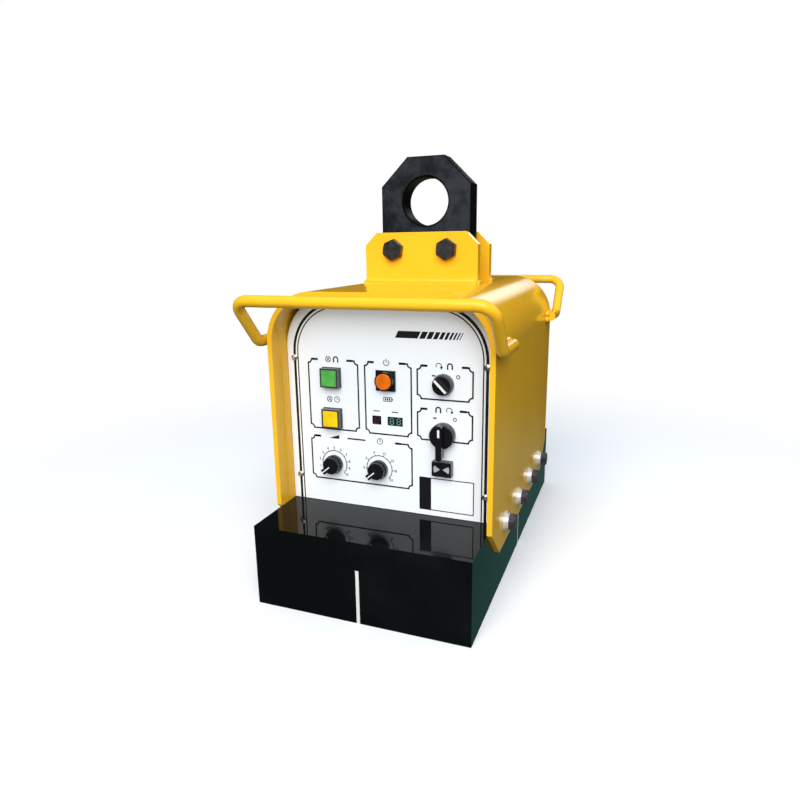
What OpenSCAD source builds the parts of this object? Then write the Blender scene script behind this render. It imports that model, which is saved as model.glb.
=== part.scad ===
// Battery powered lifting electromagnet.
// A steel magnet block with four wound poles carries a bent steel cover. The
// cover holds the batteries and the controls, and hangs from a bolted lifting eye.
// Millimetres, +Z up, front of the control panel facing -Y, origin on the floor
// below the middle of the magnet block.

/* [Magnet block] */
// Width of the block across the machine
magnet_w = 260; // [240:1:300]
// Length of the block, front to rear
magnet_l = 508; // [490:1:600]
// Height of the block above the floor
magnet_h = 98.5; // [94:0.5:120]
// Thickness of the solid yoke above the winding grooves
yoke_t = 26; // [24:0.5:34]
// Thickness of the steel rim round each pole pair
rim_t = 14; // [12:0.5:18]
// Width of the non-magnetic strip between the poles
strip_w = 4; // [3:0.5:6]
// Height of the non-magnetic strip from the pole face
strip_h = 65; // [50:1:70]
// Width of the winding beside each pole core
coil_w = 26; // [20:0.5:30]
// Running space left on each side of a winding
coil_gap = 0.5; // [0.3:0.1:1]
// Thickness of the plate that closes a winding groove
groove_plate_t = 4; // [3:0.5:6]
// Corner radius of a winding groove
groove_r = 10; // [6:1:12]
// Diameter of the hole that lets a coil lead through the yoke
lead_hole_d = 9; // [8:0.5:11]
// Distance of the lead holes from the middle, front and rear
lead_hole_y = 60; // [50:1:70]

/* [Cover] */
// Plate thickness of the bent cover
cover_t = 6; // [5:0.5:8]
// Length of the cover, front to rear
cover_l = 386; // [380:1:440]
// Height of the cover's top above the magnet block
cover_rise = 264.5; // [262:0.5:300]
// Outer radius of the two bends
bend_r = 60; // [50:1:70]
// How far the legs reach down beside the block
leg_drop = 38; // [30:1:44]
// Height of the sloping cut at each foot of the legs
foot_cut_h = 39.5; // [20:0.5:45]
// Length of the sloping cut at each foot of the legs
foot_cut_l = 42; // [20:1:50]
// How far the panels stand back inside the cover
panel_recess = 34; // [32:1:40]

/* [Side bolts] */
// Thread diameter of the bolts that hold the legs
side_bolt_d = 12; // [10:1:14]
// Spacing of the bolts along the leg
side_bolt_pitch = 81; // [70:1:90]
// Distance of the bolts below the top of the block
side_bolt_drop = 10.5; // [9.5:0.5:12]
// Width across the flats of the bolt heads
side_bolt_af = 19; // [17:1:22]
// Height of the bolt heads
side_bolt_head = 8; // [6:0.5:9]
// Depth of the thread in the block
side_bolt_depth = 25; // [20:1:30]
// Outside diameter of the plain washers
side_washer_d = 24; // [22:1:28]
// Thickness of the plain washers
side_washer_t = 2.5; // [2:0.5:3]
// Thickness of the split spring washers
spring_washer_t = 3; // [2:0.5:3.5]

/* [Handles] */
// Diameter of the handle bar
bar_d = 13; // [10:0.5:14]
// Distance of the cross bar in front of the cover
bar_reach = 48; // [40:1:55]
// Height of the cross bar below the top of the cover
bar_drop = 7.5; // [6:0.5:12]
// Distance of the lower bend in front of the cover
elbow_reach = 5; // [2:1:10]
// Height of the lower bend below the cross bar
elbow_drop = 50.5; // [40:0.5:60]
// Length of the bar's tail along the side of the cover
tail_l = 55; // [40:1:70]
// Space between the tail and the side, filled by the weld
tail_gap = 1.5; // [1:0.5:3]
// Bend radius between the cross bar and an arm
grip_bend_r = 18; // [14:1:22]
// Bend radius between an arm and its tail
elbow_bend_r = 14; // [12:1:18]

/* [Lifting eye] */
// Width of the eye plate
eye_w = 122; // [112:1:130]
// Thickness of the eye plate
eye_t = 30; // [24:1:34]
// Diameter of the hole for the crane hook or shackle
eye_hole_d = 60; // [50:1:64]
// Height of the hole's centre above the cover
eye_hole_rise = 103.5; // [100:0.5:115]
// Height of the top of the eye plate above the cover
eye_rise = 159; // [155:1:170]
// Sideways size of the corner cuts of the eye plate
eye_cut_w = 36; // [28:1:40]
// Height of the corner cuts of the eye plate
eye_cut_h = 35.5; // [28:0.5:40]
// Chamfer of the hole's rims
eye_hole_chamfer = 2.5; // [1:0.5:4]
// Chamfer of the eye plate's outer edges
eye_edge_chamfer = 1.5; // [0.5:0.5:2.5]

/* [Hanger] */
// Width of the two hanger plates
hanger_w = 152; // [145:1:160]
// Thickness of each hanger plate
hanger_t = 12; // [10:1:14]
// Height of the hanger plates above the cover
hanger_rise = 65; // [58:1:70]
// Corner cut of the hanger plates
hanger_cut = 16; // [10:1:20]
// Length of a spacer between a hanger plate and the eye plate
spacer_l = 10; // [6:1:14]
// Outside diameter of the spacers
spacer_d = 30; // [26:1:34]
// Thread diameter of the hanger bolts
hanger_bolt_d = 16; // [14:1:18]
// Width across the flats of the hanger bolts and nuts
hanger_bolt_af = 24; // [22:1:27]
// Height of the hanger bolt heads
hanger_bolt_head = 10; // [8:0.5:12]
// Height of the hanger nuts
hanger_nut_h = 13; // [11:0.5:16]
// Spacing of the two hanger bolts
hanger_bolt_pitch = 72; // [64:1:78]
// Height of the hanger bolts above the cover
hanger_bolt_rise = 43; // [38:1:46]
// Leg length of the fillet welds
weld_leg = 8; // [5:0.5:9]

/* [Panels] */
// Thickness of the front and rear panel
panel_t = 3; // [2:0.5:4]
// Space between a panel and the cover
panel_gap = 0.5; // [0.3:0.1:1]
// Radius of the panels' upper corners
panel_corner_r = 62.5; // [54:0.5:66]
// Distance of the panel screws from the inside of the cover's legs
panel_screw_inset = 10; // [9:0.5:14]
// Height of the lower panel screws above the block
panel_screw_low = 32; // [25:1:40]
// Height of the upper panel screws above the block
panel_screw_high = 182.5; // [170:0.5:190]
// Thread diameter of the panel screws
panel_screw_d = 4; // [3:0.5:4.5]
// Head diameter of the panel screws
panel_screw_head_d = 7.6; // [6.5:0.1:8]
// Depth of the welded lugs that take the panel screws
lug_depth = 12; // [10:1:16]
// Width and height of the welded lugs
lug_size = 18; // [15:1:20]

/* [Panel layout] */
// Distance of the two square lamps from the left leg
lamp_inset = 60; // [55:0.5:65]
// Height of the green lamp above the block
green_lamp_h = 161; // [158:0.5:168]
// Height of the yellow lamp above the block
yellow_lamp_h = 111; // [105:0.5:116]
// Sideways place of the main power button
power_x = 0; // [-5:0.5:5]
// Height of the main power button above the block
power_h = 161; // [158:0.5:168]
// Sideways place of the stop window of the voltage meter
stop_window_x = -13; // [-14:0.5:-12]
// Sideways place of the normal window of the voltage meter
normal_window_x = 10.4; // [10:0.1:12]
// Height of the voltage meter above the block
meter_h = 112.2; // [106:0.1:118]
// Distance of the mode switch and the lever from the right leg
switch_inset = 60.2; // [56:0.1:63]
// Height of the mode switch above the block
mode_h = 160.9; // [158:0.1:168]
// Height of the lever's axis above the block
lever_h = 102; // [100:0.5:108]
// Height of the lever's catch block above the block
catch_h = 62.5; // [58:0.5:66]
// Distance of the level dial from the left leg
level_inset = 59; // [54:0.5:64]
// Sideways place of the time dial
time_x = -11; // [-16:0.5:-6]
// Height of the two dials above the block
dial_h = 51.5; // [46:0.5:58]

/* [Panel controls] */
// Outside size of the square lamps and of the power button's base
lamp_size = 24; // [22:0.5:25]
// How far the lamps stand out of the panel
lamp_out = 10; // [8:0.5:12]
// Size of a lamp's coloured face
lamp_lens = 19.5; // [18:0.5:20.5]
// Diameter of the neck that passes through the panel
neck_d = 22; // [20:0.5:22.5]
// Outside diameter of the collar round the power button
power_collar_d = 22.4; // [21:0.2:23]
// How far the power button's collar stands out of its base
power_collar_out = 5.6; // [4:0.2:7]
// Diameter of the round power button
power_button_d = 19; // [17:0.5:19.5]
// Travel of the power button
power_travel = 3; // [2:0.5:4]
// How far the power button stands out of its collar
power_out = 1.6; // [1.2:0.2:3]
// Diameter of the mode switch's bezel
mode_bezel_d = 24.5; // [23:0.5:30]
// Diameter of the mode switch's knob
mode_knob_d = 21.4; // [19:0.2:23]
// How far the mode switch's grip stands out of its knob
mode_grip_out = 5; // [3:0.5:7]
// Diameter of the lever's round hub
lever_hub_d = 28.5; // [26:0.5:30]
// Width of the lever's bar
lever_bar_w = 7.2; // [6:0.2:9]
// Reach of the lever's bar below its axis
lever_reach = 26; // [22:1:27]
// Width of the catch block
catch_w = 23; // [20:0.5:24]
// Height of the catch block
catch_z = 17.5; // [15:0.5:18.5]
// Thickness of the catch block
catch_t = 9; // [7:0.5:9.5]
// Diameter of a dial knob
dial_knob_d = 23; // [21:0.5:25]
// Diameter of a potentiometer shaft
pot_shaft_d = 6; // [5:0.5:7]

/* [Batteries] */
// Length of a battery
battery_l = 181; // [170:1:185]
// Width of a battery
battery_w = 77; // [70:1:79]
// Height of a battery
battery_h = 167; // [150:1:170]
// Height of the tray above the magnet block
tray_lift = 14; // [12:1:18]
// Sheet thickness of the tray and of the chassis
sheet_t = 2; // [1.5:0.5:2]
// Height of the charger
charger_h = 42; // [30:1:44]

/* [Hidden] */
$fn = 64;

yellow = [0.98, 0.78, 0.16];
black_steel = [0.07, 0.08, 0.09];
zinc = [0.80, 0.80, 0.78];
dark_steel = [0.16, 0.16, 0.20];
black_plastic = [0.10, 0.10, 0.11];
panel_white = [0.94, 0.94, 0.95];
copper = [0.72, 0.40, 0.22];
stainless = [0.62, 0.62, 0.60];

eps = 1;                 // how far a cutting solid reaches past the face it cuts
fit = 0.05;              // radial clearance of a running fit
thread_fit = 0.1;        // radial clearance of a screw in its thread
hole_fit = 0.5;          // radial clearance of a bolt in a through hole

// Magnet block
groove_w = coil_w + 2 * coil_gap;
groove_h = magnet_h - yoke_t;
groove_x0 = strip_w / 2 + rim_t;
groove_x1 = magnet_w / 2 - rim_t;
groove_y0 = strip_w / 2 + rim_t;
groove_y1 = magnet_l / 2 - rim_t;
groove_plate_z = 0.5;    // the groove plates stand back from the pole face
groove_plate_fit = 0.1;
coil_z0 = groove_plate_z + groove_plate_t;
lead_x = groove_x0 + groove_w / 2;
lead_d = 5;
lead_run_z = magnet_h + tray_lift / 2;
lead_inner_x = 12;       // the rear leads run side by side below the tray

// Cover
inner_w = magnet_w;
outer_x = inner_w / 2 + cover_t;
cover_z = magnet_h + cover_rise;
leg_z = magnet_h - leg_drop;
foot_cut_z = leg_z + foot_cut_h;
bolt_ys = [for (k = [-1.5:1:1.5]) k * side_bolt_pitch];
bolt_z = magnet_h - side_bolt_drop;

// Handles
grip_y = cover_l / 2 + bar_reach;
grip_z = cover_z - bar_drop;
elbow_y = cover_l / 2 + elbow_reach;
elbow_z = grip_z - elbow_drop;
tail_y = elbow_y - tail_l;
grip_x = outer_x + tail_gap + bar_d / 2;
weld_r = 4.5;

// Hanger and eye
hanger_y = eye_t / 2 + spacer_l;
hanger_z = cover_z + hanger_rise;
hanger_bolt_z = cover_z + hanger_bolt_rise;
hanger_bolt_xs = [-hanger_bolt_pitch / 2, hanger_bolt_pitch / 2];
hanger_washer_t = 3;
eye_z = cover_z + eye_hole_rise;
eye_top = cover_z + eye_rise;
eye_foot = hanger_bolt_z - spacer_d / 2 - 6;

// Panels, whose front faces look outwards at both ends
panel_y = cover_l / 2 - panel_recess;
inside_y = panel_y - panel_t;
panel_x = inner_w / 2 - panel_gap;
panel_screw_x = inner_w / 2 - panel_screw_inset;
panel_top = cover_z - cover_t - panel_gap;
panel_z0 = magnet_h + panel_gap;
screw_zs = [magnet_h + panel_screw_low, magnet_h + panel_screw_high];
screw_head_h = 2.6;

// Controls, measured outwards from the front of the panel
lamp_x = lamp_inset - inner_w / 2;
level_x = level_inset - inner_w / 2;
switch_x = inner_w / 2 - switch_inset;
ring_nut_t = 6;
block_z = -panel_t - ring_nut_t - 0.5;   // front of a contact block
switch_shaft_d = 8;
lever_shaft_d = 10;
hub_t = 4.4;
bar_t = 9;
collar_t = 6.6;
bezel_out = 6;
part_gap = 0.3;          // space between a turning piece and what it passes
socket_rise = 60;        // height of the charging socket above the block
socket_z = magnet_h + socket_rise;

// Inside the cover, from the rear panel forwards
clamp_rod_d = 6;
rod_gap = 6;             // from a rod's axis to the battery beside it
rod_rear_y = inside_y - 2 * rod_gap;
battery_gap = 2;
battery_rear_y = rod_rear_y - rod_gap - battery_w;
battery_front_y = battery_rear_y - battery_gap - battery_w;
rod_front_y = battery_front_y - rod_gap;
chassis_y = rod_front_y - rod_gap;       // rear face of the upright sheet
tray_z = magnet_h + tray_lift;
battery_z = tray_z + sheet_t;
battery_top = battery_z + battery_h;
clamp_t = 4;
clamp_w = 30;
nut_h = 5;
shelf_z = battery_top + clamp_t + nut_h + 10;
shelf_w = 140;
chassis_w = 190;
board_rise = 107;        // height of the control board's lower edge above the block
board_z = magnet_h + board_rise;
board_size = [150, 100];
board_gap = 13;
contactor_size = [45, 60, 70];
contactor_z = magnet_h + 27;
ear_x = battery_l / 2 + 10;
ear_insets = [28, 40];   // from each battery's front face to the tray's ears
ear_ys = [battery_front_y + ear_insets[0], battery_rear_y + ear_insets[1]];
foot_x = 75;
foot_y = chassis_y - sheet_t - 10;
m6_d = 6;
m6_af = 10;
m6_head = 4;
m6_depth = 12;

// Helpers

// A box from corner a to corner b.
module box_span(a, b) {
    translate(a) cube(b - a);
}

// Stands an outline drawn in X and Z between the planes y0 and y1.
module along_y(y0, y1) {
    translate([0, y1, 0]) rotate([90, 0, 0]) linear_extrude(y1 - y0) children();
}

// Stands an outline drawn in Y and Z between the planes x0 and x1.
module along_x(x0, x1) {
    translate([x0, 0, 0]) rotate([90, 0, 90]) linear_extrude(x1 - x0) children();
}

// A rectangle with round corners, centred.
module round_rect(w, l, r) {
    square([w - 2 * r, l], center = true);
    square([w, l - 2 * r], center = true);
    for (sx = [-1, 1], sy = [-1, 1])
        translate([sx * (w / 2 - r), sy * (l / 2 - r)]) circle(r);
}

// The cover's outline: straight sides and a flat top joined by two bends.
module arch(half_w, z0, z1, r) {
    translate([-half_w, z0]) square([2 * half_w, z1 - r - z0]);
    translate([-half_w + r, z0]) square([2 * (half_w - r), z1 - z0]);
    for (s = [-1, 1]) translate([s * (half_w - r), z1 - r]) circle(r);
}

// A rod of diameter d from point p to point q.
module rod(p, q, d) {
    v = q - p;
    translate(p) rotate([0, acos(v[2] / norm(v)), atan2(v[1], v[0])]) cylinder(d = d, h = norm(v));
}

function unit(v) = v / norm(v);
function turn_at(p, i) = acos(unit(p[i] - p[i - 1]) * unit(p[i + 1] - p[i]));
function setback(p, i, r) = (i == 0 || i == len(p) - 1) ? 0 : r[i] * tan(turn_at(p, i) / 2);

// A round bar bent along the points p, with the bend radius r[i] at point i.
module bent_bar(p, r, d) {
    for (i = [0:len(p) - 2]) {
        a = unit(p[i + 1] - p[i]);
        rod(p[i] + a * setback(p, i, r), p[i + 1] - a * setback(p, i + 1, r), d);
    }
    for (i = [1:len(p) - 2]) {
        a = unit(p[i] - p[i - 1]);
        b = unit(p[i + 1] - p[i]);
        t = turn_at(p, i);
        start = p[i] - a * setback(p, i, r);
        centre = p[i] + unit(b - a) * r[i] / cos(t / 2);
        x = unit(start - centre);
        z = cross(x, a);
        // each bend is a hair thinner than the straights and ends just inside them
        lap = bend_lap / r[i] * 180 / PI;
        multmatrix([[x[0], a[0], z[0], centre[0]],
                    [x[1], a[1], z[1], centre[1]],
                    [x[2], a[2], z[2], centre[2]]])
            rotate([0, 0, -lap]) rotate_extrude(angle = t + 2 * lap)
                translate([r[i], 0]) circle(d = d - 2 * bend_step);
    }
}

bend_lap = 0.3;
bend_step = 0.02;

// A six-sided prism, af across its flats.
module hexagon(af, h) {
    cylinder(d = af / cos(30), h = h, $fn = 6);
}

// A hexagon bolt standing on its head's bearing face, shank along -Z.
module hex_bolt(d, af, head, length) {
    difference() {
        hexagon(af, head);
        // the top of the head is turned to a shallow cone
        difference() {
            translate([0, 0, head - 0.15 * af]) cylinder(d = 2 * af, h = 0.15 * af + eps);
            translate([0, 0, head - 0.15 * af])
                cylinder(d1 = 1.25 * af, d2 = 0.9 * af, h = 0.15 * af + 0.01);
        }
    }
    translate([0, 0, -length]) cylinder(d = d, h = length + 0.01);
}

module washer(d_in, d_out, t) {
    difference() {
        cylinder(d = d_out, h = t);
        translate([0, 0, -eps]) cylinder(d = d_in, h = t + 2 * eps);
    }
}

module nut(d, af, h) {
    difference() {
        hexagon(af, h);
        translate([0, 0, -eps]) cylinder(d = d + 2 * thread_fit, h = h + 2 * eps);
    }
}

// Puts a piece on the front panel, its own +Z pointing out of the panel.
module on_panel(x, h) {
    translate([x, -panel_y, magnet_h + h]) rotate([90, 0, 0]) children();
}

// Repeats a piece on both legs at every bolt, its +Z pointing outwards.
module at_side_bolts(stand) {
    for (s = [-1, 1], y = bolt_ys)
        translate([s * (outer_x + stand), y, bolt_z]) rotate([0, s * 90, 0]) children();
}

// Magnet block

// The outline of one pole core, and of the groove round it, seen from above.
module at_poles() {
    for (sx = [-1, 1], sy = [-1, 1])
        translate([sx * (groove_x0 + groove_x1) / 2, sy * (groove_y0 + groove_y1) / 2]) children();
}

module groove_outline(inset) {
    w = groove_x1 - groove_x0;
    l = groove_y1 - groove_y0;
    difference() {
        round_rect(w - 2 * inset, l - 2 * inset, groove_r);
        round_rect(w - 2 * groove_w + 2 * inset, l - 2 * groove_w + 2 * inset, groove_r / 2);
    }
}

module magnet_body() {
    color(black_steel) difference() {
        box_span([-magnet_w / 2, -magnet_l / 2, 0], [magnet_w / 2, magnet_l / 2, magnet_h]);
        at_poles() translate([0, 0, -eps]) linear_extrude(groove_h + eps) groove_outline(0);
        box_span([-strip_w / 2, -magnet_l / 2 - eps, -eps], [strip_w / 2, magnet_l / 2 + eps, strip_h]);
        box_span([-magnet_w / 2 - eps, -strip_w / 2, -eps], [magnet_w / 2 + eps, strip_w / 2, strip_h]);
        for (sx = [-1, 1], sy = [-1, 1])
            translate([sx * lead_x, sy * lead_hole_y, groove_h - eps])
                cylinder(d = lead_hole_d, h = yoke_t + 2 * eps);
        for (s = [-1, 1], y = bolt_ys)
            translate([s * (magnet_w / 2 + eps), y, bolt_z]) rotate([0, -s * 90, 0])
                cylinder(d = side_bolt_d + 2 * thread_fit, h = side_bolt_depth + 2 * eps);
        for (p = floor_screw_points)
            translate([p[0], p[1], magnet_h - m6_depth - eps])
                cylinder(d = m6_d + 2 * thread_fit, h = m6_depth + 2 * eps);
        for (y = [rod_front_y, rod_rear_y])
            translate([0, y, magnet_h - m6_depth - eps])
                cylinder(d = clamp_rod_d + 2 * thread_fit, h = m6_depth + 2 * eps);
    }
}

module pole_separator() {
    color([0.85, 0.86, 0.82]) {
        box_span([-strip_w / 2, -magnet_l / 2, 0], [strip_w / 2, magnet_l / 2, strip_h]);
        box_span([-magnet_w / 2, -strip_w / 2, 0], [magnet_w / 2, strip_w / 2, strip_h]);
    }
}

module coil(sx, sy) {
    color(copper)
        translate([sx * (groove_x0 + groove_x1) / 2, sy * (groove_y0 + groove_y1) / 2, coil_z0])
            linear_extrude(groove_h - coil_z0 - coil_gap) groove_outline(coil_gap);
}

module groove_plates() {
    color(stainless) at_poles() translate([0, 0, groove_plate_z])
        linear_extrude(groove_plate_t) groove_outline(groove_plate_fit);
}

grommet_out = 2.5;

module lead_grommets() {
    color(black_plastic) for (sx = [-1, 1], sy = [-1, 1])
        translate([sx * lead_x, sy * lead_hole_y, magnet_h]) difference() {
            union() {
                cylinder(d = lead_hole_d + 5, h = grommet_out);
                translate([0, 0, -6]) cylinder(d = lead_hole_d - 2 * thread_fit, h = 6 + grommet_out);
            }
            translate([0, 0, -6 - eps])
                cylinder(d = lead_d + 2 * thread_fit, h = 6 + grommet_out + 2 * eps);
        }
}

terminal_size = [80, 22, 24];
terminal_pitch = 10;
terminal_screw_d = 5;
terminal_screw_l = 6;
strip_front_y = chassis_y - sheet_t - terminal_size[1];
strip_z = magnet_h + 27;
lead_end_z = strip_z + terminal_size[2] / 2;
lead_front_y = -lead_hole_y;
lead_bends = [0, 5, 5, 5, 5, 0];

// Each winding's lead rises through the yoke and ends at the terminal strip.
module coil_leads() {
    coil_top = groove_h - coil_gap;
    color([0.55, 0.10, 0.08]) for (s = [-1, 1]) {
        bent_bar([[s * lead_x, lead_front_y, coil_top], [s * lead_x, lead_front_y, lead_end_z],
                  [s * lead_x, strip_front_y, lead_end_z]], lead_bends, lead_d);
        bent_bar([[s * lead_x, lead_hole_y, coil_top], [s * lead_x, lead_hole_y, lead_run_z],
                  [s * lead_inner_x, lead_hole_y, lead_run_z],
                  [s * lead_inner_x, lead_front_y, lead_run_z],
                  [s * lead_inner_x, lead_front_y, lead_end_z],
                  [s * lead_inner_x, strip_front_y, lead_end_z]],
                 [0, 5, 5, 5, 5, 0], lead_d);
    }
}

// Cover and handles

module foot_cut() {
    polygon([[-cover_l / 2 - foot_cut_l, foot_cut_z + foot_cut_h],
             [-cover_l / 2 + 2 * foot_cut_l, leg_z - foot_cut_h],
             [-cover_l / 2 - foot_cut_l, leg_z - foot_cut_h]]);
}

module cover() {
    color(yellow) difference() {
        along_y(-cover_l / 2, cover_l / 2) difference() {
            arch(outer_x, leg_z, cover_z, bend_r);
            arch(inner_w / 2, leg_z - eps, cover_z - cover_t, bend_r - cover_t);
        }
        for (m = [0, 1]) mirror([0, m, 0]) along_x(-outer_x - eps, outer_x + eps) foot_cut();
        at_side_bolts(-cover_t - eps) cylinder(d = side_bolt_d + 2 * hole_fit, h = cover_t + 2 * eps);
    }
}

// The weld between a handle's tail and the side of the cover.
module tail_weld() {
    intersection() {
        union() {
            for (dz = [-1, 1]) {
                rod([outer_x + 2, tail_y, elbow_z + dz * 4], [outer_x + 2, tail_y + 30, elbow_z + dz * 4],
                    2 * weld_r);
                for (y = [tail_y, tail_y + 30])
                    translate([outer_x + 2, y, elbow_z + dz * 4]) sphere(weld_r, $fn = 24);
            }
        }
        box_span([outer_x, tail_y - 20, elbow_z - 20], [outer_x + 20, tail_y + 60, elbow_z + 20]);
    }
}

module handle() {
    path = [[grip_x, tail_y, elbow_z], [grip_x, elbow_y, elbow_z], [grip_x, grip_y, grip_z],
            [-grip_x, grip_y, grip_z], [-grip_x, elbow_y, elbow_z], [-grip_x, tail_y, elbow_z]];
    color(yellow) {
        bent_bar(path, [0, elbow_bend_r, grip_bend_r, grip_bend_r, elbow_bend_r, 0], bar_d);
        for (m = [0, 1]) mirror([m, 0, 0]) tail_weld();
    }
}

module side_bolts() {
    stack = side_washer_t + spring_washer_t;
    color(dark_steel) at_side_bolts(stack) rotate([0, 0, 11])
        hex_bolt(side_bolt_d, side_bolt_af, side_bolt_head, stack + cover_t + side_bolt_depth);
}

module side_washers() {
    color(zinc) at_side_bolts(0) washer(side_bolt_d + 2 * hole_fit, side_washer_d, side_washer_t);
}

module side_spring_washers() {
    color(zinc) at_side_bolts(side_washer_t) difference() {
        washer(side_bolt_d + 2 * hole_fit, side_bolt_d + 8, spring_washer_t);
        rotate([0, 0, 70]) translate([0, -1, -eps]) cube([side_bolt_d, 2, spring_washer_t + 2 * eps]);
    }
}

// Hanger and lifting eye

// A plate outline with the two upper corners cut off.
function cut_plate(w, z0, z1, cut_w, cut_h) = [
    [-w / 2, z0], [w / 2, z0], [w / 2, z1 - cut_h], [w / 2 - cut_w, z1],
    [-w / 2 + cut_w, z1], [-w / 2, z1 - cut_h]];

// A square bar along every edge of an outline in the plane y, to cut a chamfer c wide.
module edge_cutters(outline, y, c) {
    for (i = [0:len(outline) - 1]) {
        a = outline[i];
        d = outline[(i + 1) % len(outline)] - a;
        translate([a[0], y, a[1]]) rotate([0, -atan2(d[1], d[0]), 0])
            translate([norm(d) / 2, 0, 0]) rotate([45, 0, 0])
                cube([norm(d) + 2 * c, c * sqrt(2), c * sqrt(2)], center = true);
    }
}

module bolt_holes(y0, y1, d) {
    for (x = hanger_bolt_xs) translate([x, y1, hanger_bolt_z]) rotate([90, 0, 0])
        cylinder(d = d, h = y1 - y0);
}

// The rear hanger plate with its fillet welds; the front one is its mirror image.
module hanger_plate() {
    y0 = hanger_y;
    y1 = hanger_y + hanger_t;
    fillet = [[0, 0], [weld_leg, 0], [0, weld_leg]];
    color(yellow) difference() {
        union() {
            along_y(y0, y1) polygon(cut_plate(hanger_w, cover_z, hanger_z, hanger_cut, hanger_cut));
            along_x(-hanger_w / 2, hanger_w / 2) translate([y1, cover_z]) polygon(fillet);
        }
        bolt_holes(y0 - eps, y1 + eps, hanger_bolt_d + 2 * hole_fit);
    }
}

module eye_plate() {
    outline = cut_plate(eye_w, eye_foot, eye_top, eye_cut_w, eye_cut_h);
    color([0.20, 0.21, 0.24]) difference() {
        along_y(-eye_t / 2, eye_t / 2) polygon(outline);
        for (y = [-eye_t / 2, eye_t / 2]) edge_cutters(outline, y, eye_edge_chamfer);
        translate([0, eye_t / 2 + eps, eye_z]) rotate([90, 0, 0])
            cylinder(d = eye_hole_d, h = eye_t + 2 * eps);
        for (m = [0, 1]) mirror([0, m, 0]) translate([0, eye_t / 2 + 0.01, eye_z]) rotate([90, 0, 0])
            cylinder(d1 = eye_hole_d + 2 * eye_hole_chamfer, d2 = eye_hole_d, h = eye_hole_chamfer);
        bolt_holes(-eye_t / 2 - eps, eye_t / 2 + eps, hanger_bolt_d + 2 * hole_fit);
    }
}

module hanger_spacers() {
    color(zinc) for (x = hanger_bolt_xs, y = [-hanger_y, eye_t / 2])
        translate([x, y + spacer_l, hanger_bolt_z]) rotate([90, 0, 0])
            washer(hanger_bolt_d + 2 * hole_fit, spacer_d, spacer_l);
}

module hanger_bolts() {
    grip = 2 * (hanger_y + hanger_t) + hanger_washer_t + hanger_nut_h + 4;
    color(dark_steel) for (x = hanger_bolt_xs)
        translate([x, -hanger_y - hanger_t, hanger_bolt_z]) rotate([90, 0, 0]) rotate([0, 0, 24 + x / 18])
            hex_bolt(hanger_bolt_d, hanger_bolt_af, hanger_bolt_head, grip);
}

module hanger_washers() {
    color(zinc) for (x = hanger_bolt_xs)
        translate([x, hanger_y + hanger_t + hanger_washer_t, hanger_bolt_z]) rotate([90, 0, 0])
            washer(hanger_bolt_d + 2 * hole_fit, 1.3 * hanger_bolt_af, hanger_washer_t);
}

module hanger_nuts() {
    color(dark_steel) for (x = hanger_bolt_xs)
        translate([x, hanger_y + hanger_t + hanger_washer_t + hanger_nut_h, hanger_bolt_z])
            rotate([90, 0, 0]) rotate([0, 0, 10]) nut(hanger_bolt_d, hanger_bolt_af, hanger_nut_h);
}

// Panels

module panel_blank(y0, y1) {
    along_y(y0, y1) arch(panel_x, panel_z0, panel_top, panel_corner_r);
}

// A hole through a panel at each of its four screws.
module at_panel_screws() {
    for (x = [-panel_screw_x, panel_screw_x], z = screw_zs) translate([x, 0, z]) children();
}

meter_window = [11.6, 10.8];
normal_window_size = [19.2, 11];
window_fit = 0.15;

module panel_hole(x, h, d) {
    on_panel(x, h) translate([0, 0, -panel_t - eps]) cylinder(d = d, h = panel_t + 2 * eps);
}

module panel_slot(x, h, size) {
    on_panel(x, h) translate([-size[0] / 2, -size[1] / 2, -panel_t - eps])
        cube([size[0], size[1], panel_t + 2 * eps]);
}

module front_panel() {
    color(panel_white) difference() {
        panel_blank(-panel_y, -inside_y);
        at_panel_screws() translate([0, -inside_y + eps, 0]) rotate([90, 0, 0])
            cylinder(d = panel_screw_d + 2 * hole_fit, h = panel_t + 2 * eps);
        panel_hole(lamp_x, green_lamp_h, neck_d + 2 * thread_fit);
        panel_hole(lamp_x, yellow_lamp_h, neck_d + 2 * thread_fit);
        panel_hole(power_x, power_h, neck_d + 2 * thread_fit);
        panel_hole(switch_x, mode_h, neck_d + 2 * thread_fit);
        panel_hole(switch_x, lever_h, neck_d + 2 * thread_fit);
        panel_hole(level_x, dial_h, bushing_d + 2 * thread_fit);
        panel_hole(time_x, dial_h, bushing_d + 2 * thread_fit);
        panel_slot(stop_window_x, meter_h, meter_window);
        panel_slot(normal_window_x, meter_h, normal_window_size);
    }
}

socket_hole_d = 30;

module rear_panel() {
    color(panel_white) difference() {
        panel_blank(inside_y, panel_y);
        at_panel_screws() translate([0, panel_y + eps, 0]) rotate([90, 0, 0])
            cylinder(d = panel_screw_d + 2 * hole_fit, h = panel_t + 2 * eps);
        translate([0, panel_y + eps, socket_z]) rotate([90, 0, 0])
            cylinder(d = socket_hole_d, h = panel_t + 2 * eps);
    }
}

// Steel blocks welded inside the legs, tapped for the panel screws.
module panel_lugs() {
    color(yellow) for (m = [0, 1], s = [-1, 1], z = screw_zs) mirror([0, m, 0]) difference() {
        translate([s * (inner_w - lug_size) / 2, lug_depth / 2 - inside_y, z])
            cube([lug_size, lug_depth, lug_size], center = true);
        translate([s * panel_screw_x, -inside_y + lug_depth + eps, z]) rotate([90, 0, 0])
            cylinder(d = panel_screw_d + 2 * thread_fit, h = lug_depth + 2 * eps);
    }
}

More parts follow.
